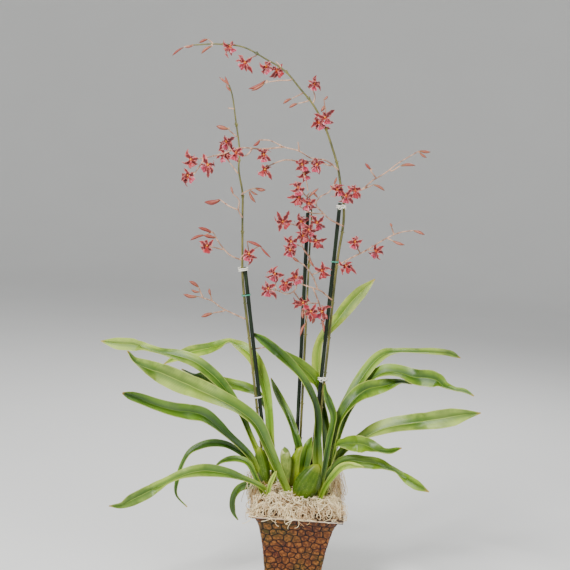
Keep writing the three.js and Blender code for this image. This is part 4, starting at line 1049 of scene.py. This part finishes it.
def pot_half(z):
    """The half width of the pot at a height."""
    for (z0, h0), (z1, h1) in zip(POT_PROFILE, POT_PROFILE[1:]):
        if z <= z1:
            return lerp(h0, h1, (z - z0) / (z1 - z0))
    return POT_PROFILE[-1][1]


# Each scale's own shift and number, drawn when it is first met
scale_jitter = {}


def scale_at(turn, z):
    """How far a place stands proud in its scale, how near a joint it is, and the scale's own number."""
    column, row = turn * SCALES_ROUND, z / SCALE_HIGH
    found = []
    for j in range(int(row) - 1, int(row) + 3):
        shift = 0.5 * (j % 2)
        for i in range(int(column - shift) - 1, int(column - shift) + 3):
            key = (i % SCALES_ROUND, j)
            if key not in scale_jitter:
                scale_jitter[key] = [chance.uniform(-0.3, 0.3), chance.uniform(-0.24, 0.24), chance.random()]
            dx, dz, number = scale_jitter[key]
            across, up = column - (i + shift + dx), row - (j + dz)
            found.append((math.hypot(across, up + 0.3 * abs(across)) - 0.14 * number, up, number))
    found.sort()
    (near, up, number), (second, _, _) = found[:2]
    joint = smoothstep(second - near, 0, 0.24)
    return joint * (1.1 - 0.5 * near * near - 0.5 * up), joint, number


def planter():
    """The pot as one sheet of rows: half width, height, share of the relief and mark of the lip."""
    top = POT_PROFILE[-1][0]
    rows = [(0, 0, 0, 0), (pot_half(0) - 1.2, 0, 0, 0)]
    rows += [(pot_half(z), z, smoothstep(z, 1, 4) * (1 - smoothstep(z, top - 3, top)), 0)
             for z in (lerp(1, top, k / POT_ROWS) for k in range(POT_ROWS + 1))]
    rows += [(RIM_HALF - 4, RIM_TOP - 2 - LIP_THICKNESS, 0, 0.1)]
    rows += [(RIM_HALF - 0.4, RIM_TOP - LIP_THICKNESS, 0, 0.5)]
    rows += [(RIM_HALF, RIM_TOP - 1, 0, 1), (RIM_HALF, RIM_TOP, 0, 1), (RIM_HALF - 1.2, RIM_TOP, 0, 1)]
    rows += [(RIM_HALF - 2, RIM_TOP - 0.8, 0, 0.6), (RIM_HALF - 4.5, RIM_TOP - 2, 0, 0.5)]
    inside = (top + LIP_THICKNESS, 111, 77, POT_FLOOR)
    rows += [(pot_half(min(z, top)) - POT_WALL, z, 0, 0.5) for z in inside]
    rows += [(0, POT_FLOOR, 0, 0.5)]
    last = len(rows) - 1
    obj = grid("planter", POT_COLUMNS, last)
    marks = []

    def place(turn, v):
        half, z, relief, edge = rows[round(v * last)]
        proud, joint, number = scale_at(turn, z) if relief else (0, 1, 0.3)
        marks.append((joint if relief else 1, number, edge))
        return square_point(half + relief * SCALE_RELIEF * (proud - 0.25), z, turn)

    shape(obj, place)
    for i, name in enumerate(("joint", "cell", "edge")):
        layer = obj.data.attributes.new(name, "FLOAT", "POINT")
        layer.data.foreach_set("value", [mark[i] for mark in marks])
    weld(obj)
    smooth(obj, 60)
    finish(obj, "pot", [POT], "pot")


def wool_height(x, y):
    """The top of the mound of wood wool."""
    out = max(abs(x), abs(y)) / WOOL_HALF
    height = WOOL_EDGE + WOOL_RISE * (1 - min(1, out) ** 4)
    for sx, sy, rise, spread in WOOL_SWELLS:
        height += rise * math.exp(-((x - sx) ** 2 + (y - sy) ** 2) / spread**2)
    return height + 7 * noise.noise(Vector((x, y, 40)) * 0.055)


def bare(x, y):
    """The front right stretch of the lip, where the wool leaves dark gaps."""
    return x > 20 and y < -58


def curled_strand(layer):
    """A crisp curl that wanders over the mound, rising out of its layer and dipping back in."""
    x, y = chance.uniform(-WOOL_HALF, WOOL_HALF), chance.uniform(-WOOL_HALF, WOOL_HALF)
    if bare(x, y) and chance.random() < 0.9:
        y += 40
    heading = chance.uniform(0, 2 * math.pi)
    turn = chance.choice((-1, 1)) * chance.uniform(0.12, 0.75)
    step = chance.uniform(1.6, 3.4)
    lift = layer + chance.uniform(-1, 1)
    hop, beat, phase = chance.uniform(0.5, 4), chance.uniform(0.3, 0.9), chance.uniform(0, 6)
    radius = chance.uniform(0.36, 0.7)
    points = []
    for k in range(chance.randint(11, 18)):
        out = max(abs(x), abs(y))
        z = wool_height(x, y) + lift + hop * math.sin(beat * k + phase)
        z = max(RIM_TOP + 0.8, z - 0.05 * max(0, out - 54) ** 2)
        points.append((Vector((x, y, z)), radius))
        x, y = x + step * math.cos(heading), y + step * math.sin(heading)
        x, y = max(-RIM_HALF - 3, min(RIM_HALF + 3, x)), max(-RIM_HALF - 3, min(RIM_HALF + 3, y))
        heading += turn + chance.uniform(-0.4, 0.4)
    return points


def fringe_strand():
    """A strand that leaves the mound, crosses the lip and hangs down outside it, more of them in front."""
    side = chance.choice((0, 0, 0, 1, 2, 3))
    place = chance.gauss(-8, 22) if side == 0 else chance.uniform(-60, 60)
    sway = chance.uniform(-1.2, 1.2)
    drop = chance.uniform(0, 4) if chance.random() < 0.65 else chance.uniform(5, 19)
    radius = chance.uniform(0.34, 0.55)
    start = chance.uniform(44, 62)
    points = []
    for k in range(16):
        t = k / 15
        out = lerp(start, RIM_HALF + 3.5, min(1, t * 1.7)) + 1.6 * math.sin(4 * t + sway)
        along = place + 20 * sway * t + 5.5 * math.sin(8 * t + place)
        x, y = [(along, -out), (out, along), (along, out), (-out, along)][side]
        high = wool_height(x, y) + 1.5 if out < 66 else RIM_TOP + 3
        z = lerp(high, RIM_TOP + 2.2, smoothstep(t, 0.1, 0.6)) - drop * smoothstep(t, 0.6, 1)
        points.append((Vector((x, y, z)), radius))
    return points


def tall_loop(x, y, high):
    """A springy loop that stands up out of the mound."""
    heading = chance.uniform(0, 2 * math.pi)
    wide = chance.uniform(5, 13)
    lean = chance.uniform(-0.4, 0.4)
    tall = high * chance.uniform(0.35, 1)
    radius = chance.uniform(0.34, 0.5)
    points = []
    for k in range(17):
        angle = -0.4 + k / 16 * 4.2
        across = wide * math.cos(angle) + 2.5 * math.sin(3 * angle + lean * 9)
        up = tall * max(-0.3, math.sin(angle)) + 1.5 * math.sin(7 * angle)
        spot = Vector((x + across * math.cos(heading) + lean * up, y + across * math.sin(heading), 0))
        points.append((spot + Vector((0, 0, wool_height(spot.x, spot.y) - 1 + up)), radius))
    return points


def wood_wool():
    """A bed in a dark brown that is painted shade, with layers of strands over it; the lower layers are
    darker, painted shade, and the top ones paler.
    """
    obj = grid("wool_bed", 70, 70)

    def place(u, v):
        x, y = (2 * u - 1) * WOOL_HALF, (2 * v - 1) * WOOL_HALF
        edge = smoothstep(max(abs(x), abs(y)), WOOL_HALF - 22, WOOL_HALF)
        rough = 3 * noise.noise(Vector((x, y, 0)) * 0.12) + 2 * noise.noise(Vector((x, y, 9)) * 0.4)
        high = wool_height(x, y) - 9 + rough
        return Vector((x, y, lerp(high, RIM_TOP + 1, edge)))

    shape(obj, place)
    apply(obj, "SOLIDIFY", thickness=4 * MM, offset=-1)
    smooth(obj, 80)
    finish(obj, "wool", [WOOL_SHADE_BED], "wood_wool")
    for part, across, deep, high in (("left", -69, 16, 38), ("right", 63, 36, 24)):
        heap = Heap()
        for layer in range(WOOL_LAYERS):
            share = layer / (WOOL_LAYERS - 1)
            strands = [curled_strand(lerp(-6, 2.5, share)) for _ in range(CURLS_PER_LAYER)]
            strands += [fringe_strand() for _ in range(FRINGE_PER_LAYER)]
            strands += [tall_loop(chance.gauss(across, 5), chance.gauss(deep, 13), high) for _ in range(6)]
            strands += [tall_loop(math.copysign(66, across), chance.uniform(-60, 60), 15) for _ in range(3)]
            strands += [tall_loop(chance.uniform(-62, 62), -62, 10) for _ in range(3)]
            if part == "right" and layer == WOOL_LAYERS - 1:
                strands.append([(seen(px, py, -10), 0.45) for px, py in STRAY])
            # The layer's share is also its tone: the lower layers are darker, painted shade.
            heap.take(tubes("strands", strands, sides=0), 0, share)
        finish(heap.piece(f"wool_strands_{part}", [WOOL]), "wool", None, "wood_wool")


# Bulbs and leaves

def bulb(name, material):
    """A flattened egg between its base and its apex, with soft ribs."""
    facts = BULBS[name]
    low, high = seen(*facts["base"]), seen(*facts["apex"])
    along = (high - low).normalized()
    across = forward.cross(along).normalized()
    away = along.cross(across)
    clear_selection()
    bpy.ops.mesh.primitive_uv_sphere_add(segments=48, ring_count=30, radius=1)
    obj = started(name + "_skin")
    for vert in obj.data.vertices:
        t = math.acos(max(-1, min(1, -vert.co.z))) / math.pi
        angle = math.atan2(vert.co.y, vert.co.x)
        bend = t ** (math.log(0.5) / math.log(facts["belly"]))
        swell = 0.16 + 0.84 * math.sin(math.pi * bend) ** 0.7 if 0 < t < 1 else 0
        swell = 0 if t < 0.001 or t > 0.999 else swell * min(1, math.sin(math.pi * t) * 6)
        rib = 1 + 0.045 * math.cos(6 * angle) + 0.006 * math.cos(22 * angle)
        out = swell * rib
        point = low.lerp(high, t) + across * (math.cos(angle) * out * facts["width"] / 2)
        vert.co = (point + away * (math.sin(angle) * out * facts["thickness"] / 2)) * MM
    weld(obj)
    smooth(obj, 80)
    finish(obj, "bulb", [material], name)


def strap_width(t):
    """The share of its full width that a strap has at t."""
    foot = 0.42 + 0.58 * smoothstep(t, 0.05, 0.42)
    return foot * max(0, 1 - t**5) ** 0.7


def leaf(name, material):
    """A strap along its route, turned to its seen width, folded at the midrib and waved at its edges."""
    facts = LEAVES[name]
    route = facts["route"]
    last = len(route) - 1
    lengths = [0]
    for (x0, y0, _), (x1, y1, _) in zip(route, route[1:]):
        lengths.append(lengths[-1] + math.hypot(x1 - x0, y1 - y0))
    deep = [through(facts["deep"], length / lengths[-1]) for length in lengths]
    path = Route([seen(px, py, depth) for (px, py, _), depth in zip(route, deep)])
    widths = Route([Vector((width * UNIT, 0, 0)) for _, _, width in route])
    lean = 1 if route[-1][0] < route[0][0] else -1
    rows = BLADE_ROWS * last
    frames = []
    for k in range(rows + 1):
        t = k / rows
        along = path.along(t)
        across = forward.cross(along).normalized()
        away = along.cross(across)
        shown = max(1.2, widths.at(t).x)
        real = max(shown, facts["width"] * strap_width(t))
        turn = lean * math.acos(shown / real)
        side = across * math.cos(turn) + away * math.sin(turn)
        fold = real * (0.3 - 0.12 * smoothstep(t, 0, 0.4))
        frames.append((path.at(t), side, side.cross(along).normalized(), real / 2, fold, t))
    obj = grid(name + "_blade", BLADE_COLUMNS, rows)
    phase = chance.uniform(0, 6)

    def place(u, v):
        middle, side, face, half, fold, t = frames[round(v * rows)]
        x = 2 * u - 1
        lift = fold * (abs(x) ** 1.1 - 0.5) - 0.7 * math.exp(-(x / 0.08) ** 2) * min(1, half / 8)
        lift += 0.16 * math.cos(x * 15) * min(1, half / 10)
        lift += 0.05 * half * math.sin(t * 22 + phase + x) * abs(x) ** 3
        return middle + side * (x * half) + face * lift

    shape(obj, place)
    apply(obj, "SOLIDIFY", thickness=BLADE_THICKNESS * MM, offset=0)
    smooth(obj, 70)
    finish(obj, "leaf", [material], name)


# Flowers, buds and stems

def tepal_master(phase):
    """A tepal along Y, faced to +Z: narrow at its foot, with a waved edge and a tip that curls back."""
    obj = grid("tepal_master", 4, 8)

    def place(u, v):
        x = 2 * u - 1
        wide = TEPAL_WIDTH * (0.3 + 0.7 * math.sin(math.pi * v**0.9) ** 0.7) * (1 - v**8)
        wide *= 1 + 0.26 * math.sin(15 * v + phase)
        cup = 0.9 * x * x * math.sin(math.pi * v)
        wave = 2.3 * math.sin(13 * v + 1.4 * x + phase) * x * x * math.sin(math.pi * min(1, v * 1.1))
        side = 0.9 * math.sin(5 * v + phase)
        curl = 2.6 * math.sin(math.pi * v) - 9 * max(0, v - 0.5) ** 1.5
        across = x * max(wide, 0.5) / 2 + side * v
        return Vector((across, v * TEPAL_LENGTH * (1 - 0.06 * v), cup + wave + curl))

    shape(obj, place)
    apply(obj, "SOLIDIFY", thickness=TEPAL_THICKNESS * MM, offset=0)
    return master_of(obj)


def lip_master():
    """The lip along Y, faced to +Z: two small ears, a waist and a broad, notched and ruffled end."""
    obj = grid("lip_master", 8, 9)

    def place(u, v):
        x = 2 * u - 1
        ears = 0.26 * math.sin(math.pi * min(1, v / 0.36)) ** 2
        wide = LIP_WIDTH * (0.24 + ears + 0.76 * smoothstep(v, 0.36, 0.74) - 0.1 * smoothstep(v, 0.85, 1))
        notch = 2 * smoothstep(v, 0.6, 1) * (abs(x) ** 2.5 + 0.5 * math.exp(-(x / 0.2) ** 2))
        ruffle = 0.9 * math.sin(8 * x + 5 * v) * smoothstep(v, 0.45, 0.9)
        callus = 1.4 * math.exp(-((v - 0.16) / 0.12) ** 2) * math.exp(-(x / 0.6) ** 2)
        dip = math.sin(v * 2.4) - 2 * v**2 - 1.2 * x * x * smoothstep(v, 0.4, 1)
        return Vector((x * wide / 2, v * LIP_LENGTH - notch, dip + ruffle + callus))

    shape(obj, place)
    apply(obj, "SOLIDIFY", thickness=TEPAL_THICKNESS * MM, offset=0)
    return master_of(obj)


def round_master(name, segments, rings, swell):
    """A turned form from 0 to 1 along Y, whose radius is swell(t, angle)."""
    clear_selection()
    bpy.ops.mesh.primitive_uv_sphere_add(segments=segments, ring_count=rings, radius=1)
    obj = started(name)
    for vert in obj.data.vertices:
        t = math.acos(max(-1, min(1, -vert.co.z))) / math.pi
        angle = math.atan2(vert.co.y, vert.co.x)
        out = swell(t, angle) if 0.001 < t < 0.999 else 0
        vert.co = Vector((math.cos(angle) * out, t, -math.sin(angle) * out)) * MM
    return master_of(obj)


def bud_swell(t, angle):
    """A bud: fullest past its middle, with three soft ribs."""
    ribs = 1 + 0.07 * math.cos(3 * angle)
    return (0.42 + 0.58 * math.sin(math.pi * t**1.35) ** 0.8) * (1 - 0.93 * t**7) * ribs


def column_swell(t, angle):
    """A column: a plain rounded peg."""
    return math.sin(math.pi * t) ** 0.5


TEPALS = [tepal_master(phase) for phase in (0, 2.1, 4.2)]
FLOWER_LIP = lip_master()
BUD_FORM = round_master("bud_master", 8, 8, bud_swell)
COLUMN_FORM = round_master("column_master", 8, 6, column_swell)


def angle_of(way):
    """The angle of a direction, as the picture shows it."""
    return math.atan2(way.dot(upward), way.dot(rightward))


def way_of(angle):
    """The direction at an angle in the picture."""
    return rightward * math.cos(angle) + upward * math.sin(angle)


def flower_tips(middle, tips, depth):
    """The tips of a flower: the tepals seen, the lip below, and the other tepals in the widest gaps."""
    found = []
    for i, (px, py) in enumerate(tips):
        reach = seen(px, py, depth) - middle
        lean = math.sqrt(max(0, TEPAL_LENGTH**2 - reach.length_squared))
        found.append((angle_of(reach), reach + forward * ((0.6 if i % 2 else -0.4) * lean), False))
    angles = [angle for angle, _, _ in found]

    def clear(angle):
        """How far an angle is from the nearest tepal."""
        return min(math.acos(max(-1, min(1, math.cos(angle - other)))) for other in angles)

    lip = math.radians(-90)
    for degrees in (-70, -110, -50, -130):
        if clear(math.radians(degrees)) > clear(lip) + 0.1:
            lip = math.radians(degrees)
    found.append((lip, (way_of(lip) - forward * 0.6).normalized() * LIP_LENGTH, True))
    angles.append(lip)
    while len(found) < TEPAL_COUNT + 1:
        order = sorted(angles)
        gaps = [(b - a, a) for a, b in zip(order, order[1:] + [order[0] + 2 * math.pi])]
        width, start = max(gaps, key=lambda entry: entry[0])
        angle = start + width / 2
        angle = math.atan2(math.sin(angle), math.cos(angle))
        angles.append(angle)
        found.append((angle, (way_of(angle) + forward * 0.4).normalized() * TEPAL_LENGTH * 0.85, False))
    return found


def add_flower(heap, flower, depth_at):
    """Five tepals, a lip and a column round the middle of a flower."""
    px, py, step, *tips = flower
    depth = depth_at(px, py) + step
    middle = seen(px, py, depth)
    tone = chance.random()
    for _, reach, wide in flower_tips(middle, tips, depth):
        way = reach.normalized()
        side = forward.cross(way).normalized()
        front = side.cross(way)
        spin = chance.uniform(-0.5, 0.5)
        side, front = (side * math.cos(spin) + front * math.sin(spin),
                       front * math.cos(spin) - side * math.sin(spin))
        full = LIP_LENGTH if wide else TEPAL_LENGTH
        stretch = reach.length / full
        broad = lerp(0.88, 1.12, chance.random())
        curl = chance.uniform(0.7, 1.6)
        twist = chance.uniform(-0.9, 0.9) / full

        def place(p):
            across = p.x * broad * math.cos(twist * p.y) - p.z * curl * math.sin(twist * p.y)
            out = p.x * broad * math.sin(twist * p.y) + p.z * curl * math.cos(twist * p.y)
            return middle + side * across + way * (p.y * stretch) + front * out

        master, slot = (FLOWER_LIP, ON_LIP) if wide else (chance.choice(TEPALS), ON_PETAL)
        heap.add(master, place, slot, tone * 0.7 + 0.3 * chance.random())
    nose = (upward * 0.35 - forward).normalized()
    side = rightward
    up = side.cross(nose)
    foot = middle - forward * 0.4
    heap.add(COLUMN_FORM, lambda p: foot + nose * (p.y * 4.2) + side * (p.x * 1.5) + up * (p.z * 1.5),
             ON_COLUMN, tone)
    return middle


def add_bud(heap, start, end, width):
    """A bud from its start to its end, a little arched."""
    along = end - start
    side = along.cross(forward).normalized()
    other = side.cross(along).normalized()
    half = width * UNIT * 0.37
    arch = along.length * chance.uniform(-0.09, 0.09)
    tone = chance.random()
    heap.add(BUD_FORM, lambda p: start + along * p.y + side * (p.x * half + arch * math.sin(math.pi * p.y))
             + other * (p.z * half), ON_BUD, tone)


def add_bract(heap, place_at, way, length, slot):
    """A small pointed scale that clasps a stem at a joint."""
    side = forward.cross(way).normalized()
    front = side.cross(way)
    heap.add(TEPALS[0], lambda p: place_at + side * (p.x * length / 11) + way * (p.y * length / TEPAL_LENGTH)
             + front * (p.z * 0.4 + 0.9), slot, chance.random())


def arched(start, end, droop):
    """A pedicel that leaves its twig and bows a little."""
    middle = start.lerp(end, 0.5) + upward * droop
    return Route([start, middle, end]).steps(3)


def depths_of(facts):
    """The depth at a picture place: it swings away from the root's depth with the distance from the root."""
    px0, py0, deep = facts["root"]
    return lambda px, py: deep + facts["swing"] * UNIT * math.hypot(px - px0, py - py0)


def spray(name, facts, main=None, holder=None):
    """The twigs, buds and flowers that one stem carries, with that stem where it is a main one."""
    depth_at = depths_of(facts)
    heap = Heap()
    routes, stems, pedicels = [], [], []

    def place(at):
        return seen(*at, depth_at(*at))

    if main:
        routes.append(main)
    for twig in facts["twigs"]:
        points = [place(at) for at in twig]
        joint = nearest_on(routes or [holder], points[0])
        if (joint - points[0]).length > 0.3:
            points.insert(0, joint)
        line = Route(points).steps(STEM_SPACING)
        stems.append(tapered(line, TWIG_RADIUS * 1.15, TWIG_RADIUS * 0.75))
        for i in range(6, len(line) - 3, 9):
            add_bract(heap, line[i], (line[i + 1] - line[i]).normalized(), 4.5, ON_TWIG)
        routes.append(line)

    def hold(point):
        """Joins a bud or a flower to the nearest stem by a pedicel with a bract."""
        joint = nearest_on(routes, point)
        if (joint - point).length > 1:
            line = arched(joint, point, chance.uniform(-0.6, 1.4))
            pedicels.append(tapered(line, PEDICEL_RADIUS, PEDICEL_RADIUS * 1.25))
            add_bract(heap, joint, (line[1] - line[0]).normalized(), 5, ON_TWIG)

    for start, end, width in facts["buds"]:
        hold(place(start))
        add_bud(heap, place(start), place(end), width)
    for flower in facts["flowers"]:
        hold(add_flower(heap, flower, depth_at))
    heap.take(tubes(name + "_twigs", stems + pedicels, sides=1), ON_TWIG, 0.5)
    if main:
        last = len(main) - 1
        thin = [max(0, i / last - 0.45) / 0.55 for i in range(last + 1)]
        strand = [(p, lerp(SPIKE_RADIUS, SPIKE_TIP_RADIUS, share)) for p, share in zip(main, thin)]
        heap.take(tubes(name + "_stem", [strand], sides=3), ON_SPIKE, 0.5)
        for i in range(14, last - 4, 16):
            add_bract(heap, main[i], (main[i + 1] - main[i]).normalized(), 9, ON_SPIKE)
    piece = heap.piece(name + "_bloom", BLOOM)
    smooth(piece, 60)
    finish(piece, "bloom", None, name)


def spike_route(facts):
    """A main stem: up beside its stake, then free."""
    depth_at = depths_of(facts)
    lower = [on_stake(facts["stake"], py, facts["side"] * SPIKE_ASIDE) for py in facts["climb"]]
    return Route(lower + [seen(px, py, depth_at(px, py)) for px, py in facts["stem"]]).steps(STEM_SPACING)


# Stakes and ties

def stake(name):
    """A rod from the mix up to its top, with a slightly rounded end."""
    ends = [on_stake(name, STAKE_END), on_stake(name, STAKES[name]["top"][1])]
    line = Route(ends).steps(14)
    radii = [STAKE_RADIUS * (1 + 0.03 * math.sin(i * 1.7)) for i in range(len(line))]
    tip = (line[-1] - line[-2]).normalized()
    line += [line[-1] + tip * -0.7]
    strand = list(zip(line[:-2], radii)) + [(line[-1], STAKE_RADIUS), (line[-2], STAKE_RADIUS * 0.7)]
    obj = tubes(f"stake_{name}_rod", [strand], sides=6)
    smooth(obj, 40)
    finish(obj, "stake", [STAKE], f"stake_{name}")


def tie(name, material, clip):
    """Turns of cord round a stake and the stem beside it, with two ears in front where it is a clip."""
    stake_name, py, side = TIES[name]
    centre = on_stake(stake_name, py, side * SPIKE_ASIDE / 2)
    along = (on_stake(stake_name, py - 10) - on_stake(stake_name, py + 10)).normalized()
    across = (on_stake(stake_name, py, side * SPIKE_ASIDE) - on_stake(stake_name, py)).normalized()
    other = along.cross(across).normalized()
    across = other.cross(along).normalized()
    reach = SPIKE_ASIDE * UNIT / 2
    cord, high = CLIP_CORD if clip else TIE_CORD
    radius = STAKE_RADIUS + CLEARANCE + cord
    line = []
    for k in range(65):
        angle = k / 32 * 2 * math.pi
        shift = reach * math.tanh(3 * math.cos(angle))
        spot = across * (shift + radius * math.cos(angle)) + other * (radius * math.sin(angle))
        line.append((centre + spot + along * lerp(-high, high, k / 64), cord))
    strands = [line]
    for way in (-1, 1) if clip else ():
        ear = []
        for k in range(17):
            angle = k / 16 * 2 * math.pi
            wide = 1 - math.cos(angle)
            out = other * -(radius + 0.6 + 1.8 * wide) + across * (way * 2.4 * wide)
            ear.append((centre + out + along * (2.4 * math.sin(angle) + way * 1.2), cord * 0.8))
        strands.append(ear)
    obj = tubes(name + "_cord", strands, sides=2)
    smooth(obj, 60)
    finish(obj, "tie", [material], name)


# The plant, put together
planter()
wood_wool()
for name, material in (("planting_mix", BARK_MIX), ("rhizome", ROOT)):
    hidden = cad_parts[name].data
    hidden.materials.clear()
    hidden.materials.append(material)
BULB_SKINS = {"bulb_back": BULB_YELLOW, "bulb_right": BULB_YELLOW, "bulb_old": BULB_DRIED}
for name in BULBS:
    bulb(name, BULB_SKINS.get(name, BULB_GREEN))
# Which leaves take the lit copy of the leaf finish (painted light), the shaded copy (painted shade) and the
# paler green.
SHADES = {
    LEAF_PALE: ("leaf_right_1", "leaf_left_4", "shoot_front", "leaf_right_9"),
    LEAF_SHADED: ("leaf_middle_2", "leaf_left_3", "leaf_left_6", "leaf_right_2"),
    LEAF_LIT: ("leaf_left_1", "leaf_left_2", "leaf_left_8", "leaf_right_3", "leaf_right_6"),
}
shade_of = {name: material for material, names in SHADES.items() for name in names}
for name in LEAVES:
    leaf(name, shade_of.get(name, LEAF))
mains = {name: spike_route(facts) for name, facts in SPIKES.items()}
for name, facts in SPIKES.items():
    spray(name, facts, main=mains[name])
for name, facts in SPRAYS.items():
    spray(name, facts, holder=mains["spike_right" if "right" in name else "spike_left"])
for name in STAKES:
    stake(name)
GREEN_TIES = ("tie_right_upper", "tie_left_upper")
CLIPS = ("tie_left_top", "tie_right_top", "tie_right_lower")
for name in TIES:
    tie(name, TIE_GREEN if name in GREEN_TIES else TIE_WHITE, name in CLIPS)


# Floor, light and camera

def bowl(u, v):
    """A round floor that rises in a quarter circle to a low wall all round."""
    run = v * 8
    bend = min(1, max(0, (run - 4) / 3)) * math.pi / 2
    out = min(run, 4) + 1.9 * math.sin(bend)
    z = 1.9 * (1 - math.cos(bend)) + max(0, run - 7)
    return Vector((out * math.cos(u * 2 * math.pi), out * math.sin(u * 2 * math.pi), z)) / MM


floor = grid("studio_floor", 96, 64)
shape(floor, bowl)
weld(floor)
smooth(floor, 80)
pale = Finish("studio_pale", roughness=0.9)
pale.set(Base_Color=pale.mix(pale.noise(3, 2), (0.86, 0.86, 0.84), (0.9, 0.9, 0.88)))
floor.data.materials.append(pale.material)

world = bpy.data.worlds.new("studio")
bpy.context.scene.world = world
world.use_nodes = True
world.node_tree.nodes["Background"].inputs["Color"].default_value = (0.83, 0.84, 0.86, 1)
world.node_tree.nodes["Background"].inputs["Strength"].default_value = 0.48


def soft_light(name, at, size, power):
    """A square lamp aimed at the middle of the plant."""
    clear_selection()
    bpy.ops.object.light_add(type="AREA", location=at)
    lamp = started(name)
    lamp.data.size = size
    lamp.data.energy = power
    lamp.rotation_euler = (Vector((0, 0, 0.4)) - Vector(at)).to_track_quat("-Z", "Y").to_euler()


soft_light("key_light", (-1.1, -1.5, 1.9), 0.7, 80)
soft_light("fill_light", (1.6, -1.1, 1.1), 1.2, 16)
soft_light("back_light", (0.4, 1.4, 1.7), 1.0, 18)

clear_selection()
bpy.ops.object.camera_add()
camera = started("camera")
camera.data.sensor_width = 36
camera.data.sensor_fit = "HORIZONTAL"
camera.data.lens = LENS / PICTURE * 36
camera.data.clip_end = 50
turned = Matrix((rightward, upward, -forward)).transposed().to_4x4()
camera.matrix_world = Matrix.Translation(eye * MM) @ turned
bpy.context.scene.camera = camera
